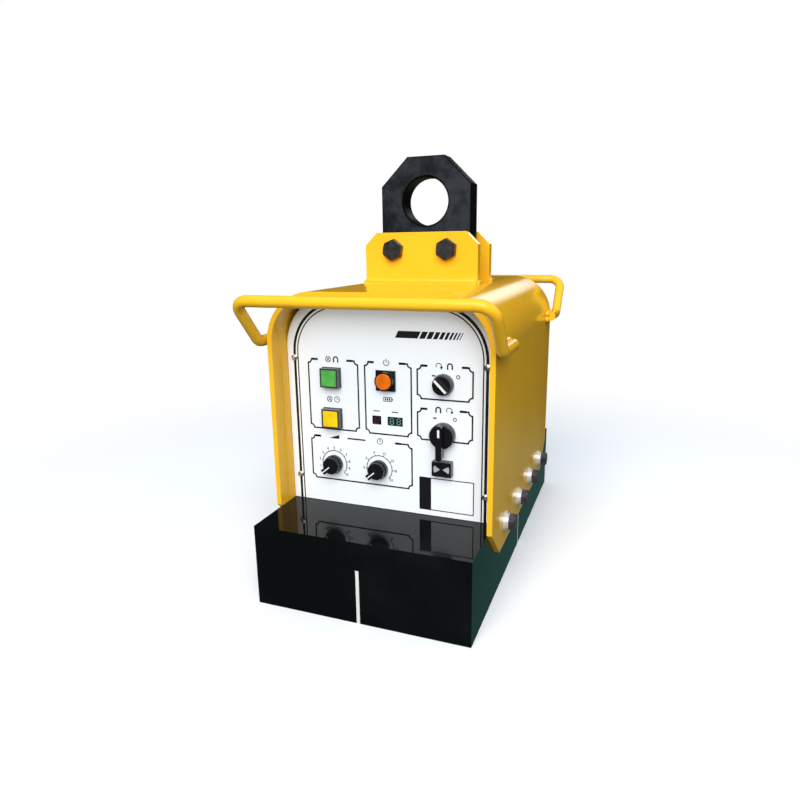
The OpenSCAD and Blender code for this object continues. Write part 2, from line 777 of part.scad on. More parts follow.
// A pan head screw with a cross recess, standing on the panel, shank along -Z.
module pan_screw() {
    difference() {
        intersection() {
            cylinder(d = panel_screw_head_d, h = screw_head_h);
            translate([0, 0, screw_head_h - panel_screw_head_d]) sphere(d = 2 * panel_screw_head_d);
        }
        for (a = [20, 110]) rotate([0, 0, a]) translate([0, 0, screw_head_h])
            cube([0.55 * panel_screw_head_d, 1, 2.4], center = true);
    }
    translate([0, 0, -panel_t - lug_depth + 1]) cylinder(d = panel_screw_d, h = panel_t + lug_depth - 0.99);
}

module panel_screws() {
    color(zinc) for (m = [0, 1]) mirror([0, m, 0])
        at_panel_screws() translate([0, -panel_y, 0]) rotate([90, 0, 0]) pan_screw();
}

// Lamps

lens_depth = 2.5;
lamp_frame = 1;          // how much a lamp narrows towards its face
lamp_foot = 2.5;         // height of a lamp's widest part
lamp_block = [24, 24, 25];

module lamp_body() {
    color([0.36, 0.35, 0.38]) difference() {
        union() {
            translate([-lamp_size / 2, -lamp_size / 2, 0]) cube([lamp_size, lamp_size, lamp_foot]);
            translate([-lamp_size / 2 + lamp_frame / 2, -lamp_size / 2 + lamp_frame / 2, 0])
                cube([lamp_size - lamp_frame, lamp_size - lamp_frame, lamp_out]);
            switch_neck();
            contact_box(lamp_block);
        }
        translate([-lamp_lens / 2 - fit, -lamp_lens / 2 - fit, lamp_out - lens_depth])
            cube([lamp_lens + 2 * fit, lamp_lens + 2 * fit, lens_depth + eps]);
    }
}

module lamp_lens_piece() {
    translate([-lamp_lens / 2, -lamp_lens / 2, lamp_out - lens_depth])
        cube([lamp_lens, lamp_lens, lens_depth - 0.4]);
}

module green_lamp_body() {
    on_panel(lamp_x, green_lamp_h) lamp_body();
}

module green_lamp_lens() {
    color([0.25, 0.75, 0.25]) on_panel(lamp_x, green_lamp_h) lamp_lens_piece();
}

module yellow_lamp_body() {
    on_panel(lamp_x, yellow_lamp_h) lamp_body();
}

module yellow_lamp_lens() {
    color([0.98, 0.80, 0.10]) on_panel(lamp_x, yellow_lamp_h) lamp_lens_piece();
}

// Main power button

power_base_t = 3;
plunger_l = 10;
power_collar_h = power_base_t + power_collar_out;
contact_block = [26, 26, 34];

// A block of contacts behind the panel, centred on its switch.
module contact_box(size) {
    translate([-size[0] / 2, -size[1] / 2, block_z - size[2]]) cube([size[0], size[1], size[2] + 0.01]);
}

// The round neck that passes through the panel.
module switch_neck() {
    translate([0, 0, block_z]) cylinder(d = neck_d, h = -block_z + 0.01);
}

module power_switch() {
    color(black_plastic) on_panel(power_x, power_h) difference() {
        union() {
            translate([-lamp_size / 2, -lamp_size / 2, 0]) cube([lamp_size, lamp_size, power_base_t]);
            cylinder(d = power_collar_d, h = power_collar_h);
            switch_neck();
            contact_box(contact_block);
        }
        cylinder(d = power_button_d + 2 * part_gap, h = power_collar_h + eps);
        translate([0, 0, -plunger_l - power_travel - 1])
            cylinder(d = switch_shaft_d + 2 * fit, h = plunger_l + power_travel + 2);
    }
}

module power_button() {
    foot = power_travel + part_gap;
    face = power_collar_h + power_out;
    rim = 1;
    color([0.95, 0.42, 0.05]) on_panel(power_x, power_h) {
        translate([0, 0, foot]) cylinder(d = power_button_d, h = face - rim - foot);
        translate([0, 0, face - rim]) cylinder(d1 = power_button_d, d2 = power_button_d - 2 * rim, h = rim);
        translate([0, 0, -plunger_l]) cylinder(d = switch_shaft_d, h = plunger_l + foot + 0.01);
    }
}

// Battery voltage meter with its two windows

module window_piece(size) {
    translate([-size[0] / 2 + window_fit, -size[1] / 2 + window_fit, -panel_t])
        cube([size[0] - 2 * window_fit, size[1] - 2 * window_fit, panel_t - 0.4]);
}

meter_body = [52, 26, 20];

module voltage_meter() {
    size = meter_body;
    color(black_plastic) on_panel((stop_window_x + normal_window_x) / 2, meter_h)
        translate([-size[0] / 2, -size[1] / 2, -panel_t - size[2]]) cube(size);
}

module stop_window() {
    color([0.22, 0.10, 0.18]) on_panel(stop_window_x, meter_h) window_piece(meter_window);
}

module normal_window() {
    color([0.08, 0.22, 0.18]) on_panel(normal_window_x, meter_h) window_piece(normal_window_size);
}

// Mode switch

bezel_chamfer = 2;
mode_shaft_l = 18;
mode_block = [28, 28, 38];
knob_disc_h = 3.5;

module mode_switch() {
    color([0.55, 0.55, 0.58]) on_panel(switch_x, mode_h) difference() {
        union() {
            cylinder(d = mode_bezel_d, h = bezel_out - bezel_chamfer);
            translate([0, 0, bezel_out - bezel_chamfer])
                cylinder(d1 = mode_bezel_d, d2 = mode_bezel_d - bezel_chamfer, h = bezel_chamfer);
            switch_neck();
            contact_box(mode_block);
        }
        translate([0, 0, -mode_shaft_l - 2])
            cylinder(d = switch_shaft_d + 2 * fit, h = mode_shaft_l + 2 + bezel_out + eps);
    }
}

mode_grip_w = 4.6;
mode_rest_turn = 135;    // the grip points up and to the left at rest

module mode_knob() {
    foot = bezel_out + part_gap;
    color(black_plastic) on_panel(switch_x, mode_h) {
        translate([0, 0, foot]) cylinder(d = mode_knob_d, h = knob_disc_h);
        intersection() {
            rotate([0, 0, mode_rest_turn]) translate([-mode_knob_d / 2, -mode_grip_w / 2, foot])
                cube([mode_knob_d, mode_grip_w, knob_disc_h + mode_grip_out]);
            translate([0, 0, foot]) cylinder(d = mode_knob_d - 0.6, h = knob_disc_h + mode_grip_out);
        }
        translate([0, 0, -mode_shaft_l]) cylinder(d = switch_shaft_d, h = mode_shaft_l + foot + 0.01);
    }
}

// Lever switch and its catch

lever_shaft_l = 20;
lever_block = [42, 42, 46];
lever_tail = 8;          // how far the lever's bar reaches above its axis

module lever_switch() {
    color([0.55, 0.55, 0.58]) on_panel(switch_x, lever_h) difference() {
        union() {
            cylinder(d = lever_hub_d + 0.6, h = collar_t);
            switch_neck();
            contact_box(lever_block);
        }
        translate([0, 0, -lever_shaft_l - 4])
            cylinder(d = lever_shaft_d + 2 * fit, h = lever_shaft_l + 4 + collar_t + eps);
    }
}

// A round hub with a bar across it that hangs straight down at rest.
module lever_handle() {
    foot = collar_t + part_gap;
    rim = 1;
    low = -lever_reach + lever_bar_w / 2;
    color(black_plastic) on_panel(switch_x, lever_h) {
        translate([0, 0, foot]) cylinder(d = lever_hub_d, h = hub_t - rim);
        translate([0, 0, foot + hub_t - rim]) cylinder(d1 = lever_hub_d, d2 = lever_hub_d - 2 * rim, h = rim);
        translate([-lever_bar_w / 2, low, foot + hub_t - rim])
            cube([lever_bar_w, lever_tail + lever_bar_w / 2 - low, bar_t + rim]);
        for (y = [low, lever_tail + lever_bar_w / 2])
            translate([0, y, foot + hub_t - rim]) cylinder(d = lever_bar_w, h = bar_t + rim);
        translate([0, 0, -lever_shaft_l]) cylinder(d = lever_shaft_d, h = lever_shaft_l + foot + 0.01);
    }
}

catch_window = 1;        // depth of the two wedge-shaped windows
catch_window_r = 9.6;    // reach of a window from the middle of the block
catch_window_turn = 30;  // half the angle of a window

module lever_catch() {
    reach = 2 * catch_window_r;
    color(black_plastic) on_panel(switch_x, catch_h) difference() {
        translate([-catch_w / 2, -catch_z / 2, 0]) cube([catch_w, catch_z, catch_t]);
        for (m = [0, 1]) mirror([m, 0, 0]) translate([0, 0, catch_t - catch_window])
            linear_extrude(catch_window + eps) intersection() {
                circle(catch_window_r);
                polygon([[0.8, 0], [reach, reach * tan(catch_window_turn)],
                         [reach, -reach * tan(catch_window_turn)]]);
            }
    }
}

// One ring nut behind the panel on each neck.
module switch_ring_nuts() {
    color(zinc) for (p = [[lamp_x, green_lamp_h], [lamp_x, yellow_lamp_h], [power_x, power_h],
                          [switch_x, mode_h], [switch_x, lever_h]])
        on_panel(p[0], p[1]) translate([0, 0, -panel_t - ring_nut_t])
            washer(neck_d + 2 * thread_fit, neck_d + 7, ring_nut_t);
}

// Dials

bushing_d = 9;
knob_foot = 1.2;
knob_skirt = 5;
knob_h = 12.5;
flutes = 13;             // grooves round a dial knob, clear of its pointer
flute_d = 2.2;
pot_d = 24;
shaft_end = knob_h - 2.5;

module pot() {
    color([0.45, 0.45, 0.42]) difference() {
        union() {
            translate([0, 0, -panel_t - 18]) cylinder(d = pot_d, h = 18);
            translate([0, 0, -panel_t - 0.01]) cylinder(d = bushing_d, h = panel_t + 4.01);
            hexagon(12, 2.4);
        }
        translate([0, 0, -panel_t - 16]) cylinder(d = pot_shaft_d + 2 * fit, h = panel_t + 20 + eps);
    }
}

module pot_shaft() {
    color(zinc) translate([0, 0, -panel_t - 14]) cylinder(d = pot_shaft_d, h = panel_t + 14 + shaft_end);
}

// A round knob with a pointer that reaches past its skirt; the pointer is along -Y of
// the knob, turned to the dial's first mark.
module dial_knob() {
    pointer_w = 7;
    color(black_plastic) difference() {
        union() {
            translate([0, 0, knob_foot]) cylinder(d = dial_knob_d, h = knob_skirt);
            translate([0, 0, knob_foot + knob_skirt])
                cylinder(d1 = dial_knob_d - 1, d2 = dial_knob_d - 2.5, h = knob_h - knob_foot - knob_skirt);
            rotate([0, 0, dial_start]) translate([-pointer_w / 2, 0, knob_foot + knob_skirt - 2])
                cube([pointer_w, dial_knob_d / 2 + 3, knob_h - knob_foot - knob_skirt + 2.6]);
        }
        // room for the bushing's nut
        translate([0, 0, knob_foot - eps]) cylinder(d = 16, h = 4.4 + eps);
        for (k = [0:flutes - 1])
            rotate([0, 0, dial_start + 180 + (k - (flutes - 1) / 2) * 360 / (flutes + 3)])
                translate([0, dial_knob_d / 2 - 0.2, knob_foot + knob_skirt])
                    cylinder(d = flute_d, h = knob_h, $fn = 24);
        translate([0, 0, knob_foot]) cylinder(d = pot_shaft_d + 2 * fit, h = shaft_end - knob_foot + 0.2);
    }
}

dial_start = 130;        // the first mark, turned this far to the left of straight up

module level_pot() {
    on_panel(level_x, dial_h) pot();
}

module level_shaft() {
    on_panel(level_x, dial_h) pot_shaft();
}

module level_knob() {
    on_panel(level_x, dial_h) dial_knob();
}

module time_pot() {
    on_panel(time_x, dial_h) pot();
}

module time_shaft() {
    on_panel(time_x, dial_h) pot_shaft();
}

module time_knob() {
    on_panel(time_x, dial_h) dial_knob();
}

// Batteries and what holds them

module battery(y0) {
    color([0.16, 0.16, 0.18]) {
        box_span([-battery_l / 2, y0, battery_z], [battery_l / 2, y0 + battery_w, battery_top - 5]);
        box_span([-battery_l / 2 + 2, y0 + 2, battery_top - 5.01],
                 [battery_l / 2 - 2, y0 + battery_w - 2, battery_top]);
        for (s = [-1, 1]) translate([s * (battery_l / 2 - 16), y0 + battery_w / 2, battery_top - 0.01])
            cylinder(d = 9, h = 6);
    }
}

tray_lip = 20;

module battery_tray() {
    y0 = battery_front_y - 0.5;
    y1 = battery_rear_y + battery_w + 0.5;
    x1 = battery_l / 2 + 0.5;
    color(zinc) difference() {
        union() {
            difference() {
                box_span([-x1 - sheet_t, y0 - sheet_t, tray_z],
                         [x1 + sheet_t, y1 + sheet_t, tray_z + tray_lip]);
                box_span([-x1, y0, battery_z], [x1, y1, tray_z + tray_lip + eps]);
            }
            for (s = [-1, 1], y = ear_ys) {
                translate([s * ear_x, y, tray_z]) linear_extrude(sheet_t) {
                    circle(d = 18);
                    translate([-s * 5, 0]) square([10, 18], center = true);
                }
                translate([s * ear_x, y, magnet_h]) cylinder(d = 14, h = tray_lift + 0.01);
            }
        }
        for (s = [-1, 1], y = ear_ys) translate([s * ear_x, y, magnet_h - eps])
            cylinder(d = m6_d + 2 * hole_fit, h = tray_lift + sheet_t + 2 * eps);
    }
}

module clamp_bar() {
    color(zinc) difference() {
        box_span([-clamp_w / 2, rod_front_y - rod_gap + 0.5, battery_top],
                 [clamp_w / 2, rod_rear_y + rod_gap, battery_top + clamp_t]);
        for (y = [rod_front_y, rod_rear_y]) translate([0, y, battery_top - eps])
            cylinder(d = clamp_rod_d + 2 * hole_fit, h = clamp_t + 2 * eps);
    }
}

module clamp_rods() {
    low = magnet_h - m6_depth;
    high = shelf_z + sheet_t + nut_h + 2;
    color(zinc) for (y = [rod_front_y, rod_rear_y]) {
        translate([0, y, low]) cylinder(d = clamp_rod_d, h = high - low);
        for (z = [battery_top + clamp_t, shelf_z + sheet_t])
            translate([0, y, z]) nut(clamp_rod_d - 2 * thread_fit, m6_af, nut_h);
    }
}

// An upright sheet in front of the batteries, bent back into a shelf above them.
module chassis_plate() {
    color(zinc) difference() {
        union() {
            box_span([-chassis_w / 2, chassis_y - sheet_t, magnet_h],
                     [chassis_w / 2, chassis_y, shelf_z + sheet_t]);
            box_span([-shelf_w / 2, chassis_y - sheet_t, shelf_z],
                     [shelf_w / 2, rod_rear_y + rod_gap, shelf_z + sheet_t]);
            for (s = [-1, 1]) box_span([s * foot_x - 12, chassis_y - sheet_t - 20, magnet_h],
                                       [s * foot_x + 12, chassis_y, magnet_h + sheet_t]);
        }
        // the way through for the rear leads
        box_span([-lead_inner_x - 8, chassis_y - sheet_t - eps, magnet_h - eps],
                 [lead_inner_x + 8, chassis_y + eps, lead_run_z + 6]);
        for (y = [rod_front_y, rod_rear_y]) translate([0, y, shelf_z - eps])
            cylinder(d = clamp_rod_d + 2 * hole_fit, h = sheet_t + 2 * eps);
        for (s = [-1, 1]) translate([s * foot_x, foot_y, magnet_h - eps])
            cylinder(d = m6_d + 2 * hole_fit, h = sheet_t + 2 * eps);
    }
}

// Where the M6 screws stand: [x, y, height of the sheet they clamp above the block].
floor_screw_points = [for (s = [-1, 1]) [s * foot_x, foot_y, sheet_t],
                      for (s = [-1, 1], y = ear_ys) [s * ear_x, y, tray_lift + sheet_t]];

module floor_screws() {
    color(dark_steel) for (p = floor_screw_points)
        translate([p[0], p[1], magnet_h + p[2]]) hex_bolt(m6_d, m6_af, m6_head, p[2] + m6_depth);
}

// Electrical parts on the chassis

board_y = chassis_y - sheet_t - board_gap;
board_t = 1.6;
board_pillar_d = 8;
board_pillar_inset = 6;
board_edge = 12;         // from the board's edge to its outermost part
fin_pitch = 6;
fin_t = 2;
sink_size = [38, 36];
sink_depth = [4, 24];    // its base and its fins
capacitor_size = [22, 35];
capacitor_pitch = 26;
relay_size = [18, 16, 24];
relay_pitch = 22;
plug_size = [24, 10, 8];
plug_pitch = 30;

// A box that stands on the front of the board, from its left lower corner.
module on_board(x, z, size) {
    translate([x, board_y - board_t - size[1], z]) cube([size[0], size[1] + 0.01, size[2]]);
}

module control_board() {
    w = board_size[0];
    z1 = board_z + board_size[1];
    sink_z = z1 - board_edge + 4 - sink_size[1];
    left = board_edge - w / 2;
    color([0.10, 0.38, 0.20]) {
        translate([-w / 2, board_y - board_t, board_z]) cube([w, board_t, board_size[1]]);
        for (s = [-1, 1], z = [board_z + board_pillar_inset, z1 - board_pillar_inset])
            translate([s * (w / 2 - board_pillar_inset), board_y + board_gap, z]) rotate([90, 0, 0])
                cylinder(d = board_pillar_d, h = board_gap + 0.01);
        // power transistors on a finned heat sink
        on_board(left, sink_z, [sink_size[0], sink_depth[0], sink_size[1]]);
        for (x = [0:fin_pitch:sink_size[0] - fin_t])
            on_board(left + x, sink_z, [fin_t, sink_depth[1], sink_size[1]]);
        // two storage capacitors
        for (x = [0, capacitor_pitch]) translate([x, board_y - board_t + 0.01, z1 - capacitor_size[0] - 2])
            rotate([90, 0, 0]) cylinder(d = capacitor_size[0], h = capacitor_size[1]);
        // relays and the plug-in connectors
        for (k = [0:2]) on_board(left + k * relay_pitch, board_z + board_edge + 2, relay_size);
        for (k = [0:1]) on_board(board_edge + k * plug_pitch, board_z + 8, plug_size);
    }
}

module contactors() {
    s = contactor_size;
    color([0.20, 0.20, 0.22]) for (x = [-foot_x + 8, foot_x - 8]) {
        box_span([x - s[0] / 2, chassis_y - sheet_t - s[1], contactor_z],
                 [x + s[0] / 2, chassis_y - sheet_t, contactor_z + s[2]]);
        box_span([x - s[0] / 2 + 6, chassis_y - sheet_t - s[1] - 5, contactor_z + 18],
                 [x + s[0] / 2 - 6, chassis_y - sheet_t - s[1] + 0.01, contactor_z + s[2] - 18]);
    }
}

module at_terminals() {
    last = terminal_size[0] / 2 - terminal_pitch / 2;
    for (x = [-last:terminal_pitch:last])
        translate([x, strip_front_y + terminal_size[1] / 2, strip_z + terminal_size[2]]) children();
}

module terminal_strip() {
    color([0.75, 0.72, 0.62]) difference() {
        translate([-terminal_size[0] / 2, strip_front_y, strip_z]) cube(terminal_size);
        at_terminals() translate([0, 0, -terminal_screw_l])
            cylinder(d = terminal_screw_d, h = terminal_screw_l + eps);
    }
}

module terminal_screws() {
    head_h = 2;
    slot_w = 0.8;
    color(zinc) at_terminals() translate([0, 0, -terminal_screw_l]) difference() {
        cylinder(d = terminal_screw_d - 2 * thread_fit, h = terminal_screw_l - head_h / 2);
        translate([0, 0, terminal_screw_l - head_h / 2])
            cube([terminal_screw_d, slot_w, head_h], center = true);
    }
}

module charger() {
    x1 = shelf_w / 2 - 5;
    y0 = rod_front_y + 14;
    y1 = rod_rear_y - 14;
    z0 = shelf_z + sheet_t;
    color([0.55, 0.57, 0.60]) {
        box_span([-x1, y0, z0], [x1, y1, z0 + charger_h - 8]);
        for (k = [0:9]) box_span([-x1 + 4 + k * 13, y0 + 4, z0 + charger_h - 8.01],
                                 [-x1 + 8 + k * 13, y1 - 4, z0 + charger_h]);
    }
}

socket_flange_d = 42;
socket_flange_t = 3;
cap_d = 32;
cap_h = 12;
cap_grooves = 12;

// The socket for the charging lead, shut by its grooved screw cap.
module charging_socket() {
    color(black_plastic) translate([0, panel_y, socket_z]) rotate([-90, 0, 0]) {
        translate([0, 0, -panel_t - 4]) cylinder(d = socket_hole_d - 2 * thread_fit, h = panel_t + 4.01);
        cylinder(d = socket_flange_d, h = socket_flange_t);
        difference() {
            translate([0, 0, socket_flange_t - 0.01]) cylinder(d = cap_d, h = cap_h);
            for (k = [0:cap_grooves - 1]) rotate([0, 0, k * 360 / cap_grooves])
                translate([cap_d / 2 + 1, 0, 2 * socket_flange_t]) cylinder(d = 4, h = cap_h);
        }
    }
}

magnet_body();
pole_separator();
coil(-1, -1);  // coil_front_left
coil(1, -1);  // coil_front_right
coil(-1, 1);  // coil_rear_left
coil(1, 1);  // coil_rear_right
groove_plates();
lead_grommets();
coil_leads();
cover();
mirror([0, 1, 0]) handle();  // handle_front
handle();  // handle_rear
mirror([0, 1, 0]) hanger_plate();  // hanger_plate_front
hanger_plate();  // hanger_plate_rear
eye_plate();
hanger_spacers();
hanger_bolts();
hanger_washers();
hanger_nuts();
side_bolts();
side_washers();
side_spring_washers();
front_panel();
rear_panel();
panel_lugs();
panel_screws();
green_lamp_body();
green_lamp_lens();
yellow_lamp_body();
yellow_lamp_lens();
power_switch();
power_button();
voltage_meter();
stop_window();
normal_window();
mode_switch();
mode_knob();
lever_switch();
lever_handle();
lever_catch();
switch_ring_nuts();
level_pot();
level_shaft();
level_knob();
time_pot();
time_shaft();
time_knob();
battery(battery_front_y);  // battery_front
battery(battery_rear_y);  // battery_rear
battery_tray();
clamp_bar();
clamp_rods();
chassis_plate();
floor_screws();
control_board();
contactors();
terminal_strip();
terminal_screws();
charger();
charging_socket();
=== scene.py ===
import math

import bmesh
import bpy
from mathutils import Matrix, Vector


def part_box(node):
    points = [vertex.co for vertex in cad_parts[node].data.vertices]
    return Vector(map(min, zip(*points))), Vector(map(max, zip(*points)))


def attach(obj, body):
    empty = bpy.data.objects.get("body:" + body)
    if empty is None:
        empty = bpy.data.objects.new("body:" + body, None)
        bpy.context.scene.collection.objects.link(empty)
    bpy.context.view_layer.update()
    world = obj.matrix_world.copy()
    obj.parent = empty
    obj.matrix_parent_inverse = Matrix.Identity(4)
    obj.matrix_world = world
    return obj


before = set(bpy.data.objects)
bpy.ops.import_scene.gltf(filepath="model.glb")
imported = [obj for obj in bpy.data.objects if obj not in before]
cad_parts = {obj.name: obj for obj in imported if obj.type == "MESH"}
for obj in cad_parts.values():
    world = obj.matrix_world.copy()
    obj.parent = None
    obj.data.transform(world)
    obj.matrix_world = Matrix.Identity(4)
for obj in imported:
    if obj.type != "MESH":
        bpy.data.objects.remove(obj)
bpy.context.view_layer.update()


# The view of the machine. It is seen from a little above and to the right of
# the control panel, at close range with a wide lens, so the block's sides run
# together towards the back.
mm = 0.001
camera_at = Vector((273.3, -817.2, 410.5)) * mm
camera_turn = 0.37143
camera_dip = 0.24025
camera_tilt = -0.014566
lens_in_frames = 626.956 / 800
film_width = 36.0

dip = math.cos(camera_dip)
ahead = Vector((-math.sin(camera_turn) * dip, math.cos(camera_turn) * dip, -math.sin(camera_dip)))
level = Vector((math.cos(camera_turn), math.sin(camera_turn), 0))
upright = level.cross(ahead)
across = level * math.cos(camera_tilt) + upright * math.sin(camera_tilt)
above = upright * math.cos(camera_tilt) - level * math.sin(camera_tilt)

camera = bpy.data.objects.new("camera", bpy.data.cameras.new("camera"))
camera.data.sensor_width = film_width
camera.data.lens = film_width * lens_in_frames
camera.data.clip_start = 0.01
camera_axes = Matrix((across, above, -ahead)).transposed().to_4x4()
camera.matrix_world = Matrix.Translation(camera_at) @ camera_axes
bpy.context.scene.collection.objects.link(camera)
bpy.context.scene.camera = camera
bpy.context.scene.view_settings.view_transform = "Standard"


# The studio. The machine stands on a white floor, under one broad soft lamp in
# front and a weak one on the right, in even light that is weaker from below.
# Gloss shows a dark room with a green floor, a pale ceiling and one window.
class Wire:
    """A node's output, so that shader maths reads as an expression."""

    def __init__(self, tree, out=None):
        self.tree = tree
        self.out = out

    def add(self, kind, settings=None, inputs=None, out=0):
        """A new node: its settings first, then its sockets' values or links."""
        node = self.tree.nodes.new("ShaderNode" + kind)
        for name, value in (settings or {}).items():
            if name == "stops":
                ramp = node.color_ramp
                for spare in list(ramp.elements)[1:]:
                    ramp.elements.remove(spare)
                ramp.elements[0].position = value[0][0]
                ramp.elements[0].color = value[0][1]
                for place, colour in value[1:]:
                    ramp.elements.new(place).color = colour
            else:
                setattr(node, name, value)
        for name, value in (inputs or {}).items():
            if isinstance(value, Wire):
                self.tree.links.new(value.out, node.inputs[name])
            else:
                node.inputs[name].default_value = value
        return Wire(self.tree, node.outputs[out])

    def math(self, operation, *values):
        return self.add("Math", {"operation": operation}, dict(enumerate(values)))

    def __add__(self, other):
        return self.math("ADD", self, other)

    __radd__ = __add__

    def __sub__(self, other):
        return self.math("SUBTRACT", self, other)

    def __rsub__(self, other):
        return self.math("SUBTRACT", other, self)

    def __mul__(self, other):
        return self.math("MULTIPLY", self, other)

    __rmul__ = __mul__

    def over(self, low, high):
        """0 below low, 1 above high, smooth between."""
        ends = {"Value": self, "From Min": low, "From Max": high}
        return self.add("MapRange", {"interpolation_type": "SMOOTHSTEP"}, ends)

    def blend(self, first, second):
        """The first colour where this is 0, the second where it is 1."""
        return self.add("Mix", {"data_type": "RGBA"}, {0: self, 6: first, 7: second}, out=2)

    def part(self, axis):
        return self.add("SeparateXYZ", {}, {0: self}, out="XYZ".index(axis))

    def noise(self, scale, detail=3.0, rough=0.5):
        sockets = {"Vector": self, "Scale": scale, "Detail": detail, "Roughness": rough}
        return self.add("TexNoise", {}, sockets)


def grey(value):
    return (value, value, value, 1.0)


def studio_room():
    """Soft light on the object, white behind it, and the room that gloss shows."""
    world = bpy.data.worlds.new("studio")
    bpy.context.scene.world = world
    world.use_nodes = True
    world.node_tree.nodes.clear()
    room = Wire(world.node_tree)
    look = room.add("TexCoord", out=0)
    up = look.part("Z")
    side = look.part("X")
    back = look.part("Y")
    green_floor = (0.055, 0.150, 0.132, 1.0)
    wall_tone, ceiling_tone, front_tone, window_tone = 0.02, 0.55, 0.03, 2.2
    sky_low = (0.10, 0.115, 0.12, 1.0)
    sky_high = (0.44, 0.50, 0.57, 1.0)
    walls = up.over(-0.34, -0.22).blend(green_floor, grey(wall_tone))
    ceiling = up.over(0.42, 0.85).blend(walls, grey(ceiling_tone))
    in_front = (0 - back).over(0.15, 0.75) * (1 - up.over(0.35, 0.8))
    dark_front = in_front.blend(ceiling, grey(front_tone))
    window = up.over(0.155, 0.185) * (1 - up.over(0.30, 0.34)) * back.over(0.6, 0.7)
    pane = window * side.over(-0.10, -0.06) * (1 - side.over(0.03, 0.10))
    seen_in_gloss = pane.blend(dark_front, grey(window_tone))
    sky = up.over(-0.35, 0.45).blend(sky_low, sky_high)
    gloss = room.add("LightPath", out=3)
    camera_ray = room.add("LightPath", out=0)
    through = room.add("LightPath", out=6)
    lit = gloss.blend(sky, seen_in_gloss)
    colour = camera_ray.math("MAXIMUM", camera_ray, through).blend(lit, grey(1.0))
    glow = room.add("Background", {}, {"Color": colour, "Strength": 1.0})
    output = world.node_tree.nodes.new("ShaderNodeOutputWorld")
    world.node_tree.links.new(glow.out, output.inputs["Surface"])


def soft_lamp(name, at, width, watts):
    """A square lamp that faces the machine's middle."""
    middle = Vector((0, 0, 0.2))
    lamp = bpy.data.objects.new(name, bpy.data.lights.new(name, "AREA"))
    lamp.data.shape = "SQUARE"
    lamp.data.size = width
    lamp.data.energy = watts
    lamp.location = at
    lamp.rotation_euler = (middle - Vector(at)).to_track_quat("-Z", "Y").to_euler()
    bpy.context.scene.collection.objects.link(lamp)


studio_room()
soft_lamp("key_lamp", (0.55, -2.55, 2.0), 2.8, 137.0)
soft_lamp("side_lamp", (2.2, 0.9, 1.4), 1.4, 7.0)


class Finish:
    """A surface finish: one principled shader, with what varies linked to it."""

    def __init__(self, name, colour, roughness, metallic=0.0, **fixed):
        self.material = bpy.data.materials.new(name)
        self.material.use_nodes = True
        tree = self.material.node_tree
        self.shader = tree.nodes["Principled BSDF"]
        self.place = Wire(tree).add("TexCoord", out=3)
        self.facing = Wire(tree).add("NewGeometry", out=3)
        self.set("Base Color", (*colour, 1.0))
        self.set("Roughness", roughness)
        self.set("Metallic", metallic)
        for socket, value in fixed.items():
            self.set(socket.replace("_", " "), value)
        self.material.diffuse_color = (*colour, 1.0)

    def set(self, socket, value):
        if isinstance(value, Wire):
            value.tree.links.new(value.out, self.shader.inputs[socket])
        else:
            self.shader.inputs[socket].default_value = value

    def bump(self, height, depth):
        """Raises the surface by depth metres where height is 1."""
        raised = height.add("Bump", {}, {"Strength": 1.0, "Distance": depth, "Height": height})
        self.set("Normal", raised)

    def on(self, *pieces):
        """Gives this finish to CAD nodes, by name, and to pieces made here."""
        for piece in pieces:
            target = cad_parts[piece] if isinstance(piece, str) else piece
            target.data.materials.clear()
            target.data.materials.append(self.material)


def floor():
    """A sheet just below the machine that is shaded near it and white far off."""
    half, drop = 6.0, 0.2 * mm
    fade_starts, fade_ends = 0.45, 1.1
    mesh = bpy.data.meshes.new("floor")
    corners = [(-half, -half, 0), (half, -half, 0), (half, half, 0), (-half, half, 0)]
    mesh.from_pydata(corners, [], [(0, 1, 2, 3)])
    sheet = bpy.data.objects.new("floor", mesh)
    sheet.location.z = -drop
    sheet.visible_glossy = False
    sheet.visible_diffuse = False
    bpy.context.scene.collection.objects.link(sheet)
    pale = Finish("pale_floor", (0.97, 0.97, 0.97), 0.9, Specular_IOR_Level=0.0)
    pale.on(sheet)
    tree = pale.material.node_tree
    from_middle = pale.place.add("VectorMath", {"operation": "LENGTH"}, {0: pale.place}, out=1)
    far_off = from_middle.over(fade_starts, fade_ends) * pale.place.add("LightPath", out=0)
    white = pale.place.add("Emission", {}, {"Color": grey(1.0), "Strength": 1.0})
    shaded = Wire(tree, pale.shader.outputs[0])
    mixed = pale.place.add("MixShader", {}, {0: far_off, 1: shaded, 2: white})
    tree.links.new(mixed.out, tree.nodes["Material Output"].inputs["Surface"])


floor()


# The magnet block. One thick steel block is slotted and milled from below for
# four wound poles. It is painted in glossy black enamel on the outside, and its
# pole faces are ground bare.
enamel = Finish("black_enamel", (0.004, 0.005, 0.005), 0.045, IOR=1.22)
ripple = enamel.place.noise(55.0, 2.0)
grain = enamel.place.noise(900.0, 2.0)
underside = (0 - enamel.facing.part("Z")).over(0.9, 0.95)
ground = enamel.place.add("TexWave", {"bands_direction": "X"},
                          {"Vector": enamel.place, "Scale": 260.0, "Distortion": 2.0, "Detail": 2.0})
smear = enamel.place.noise(9.0, 4.0).over(0.45, 0.75)
black_coat = smear.blend((0.0032, 0.0042, 0.0042, 1.0), (0.006, 0.008, 0.008, 1.0))
enamel.set("Base Color", underside.blend(black_coat, grey(0.42)))
enamel.set("Metallic", underside)
enamel.set("Roughness", underside * (0.26 + 0.12 * ground) + (1 - underside) * (0.035 + 0.05 * smear))
enamel.bump(ripple * 0.8 + grain * 0.05 + underside * ground * 0.1, 0.05 * mm)
enamel.on("magnet_body")


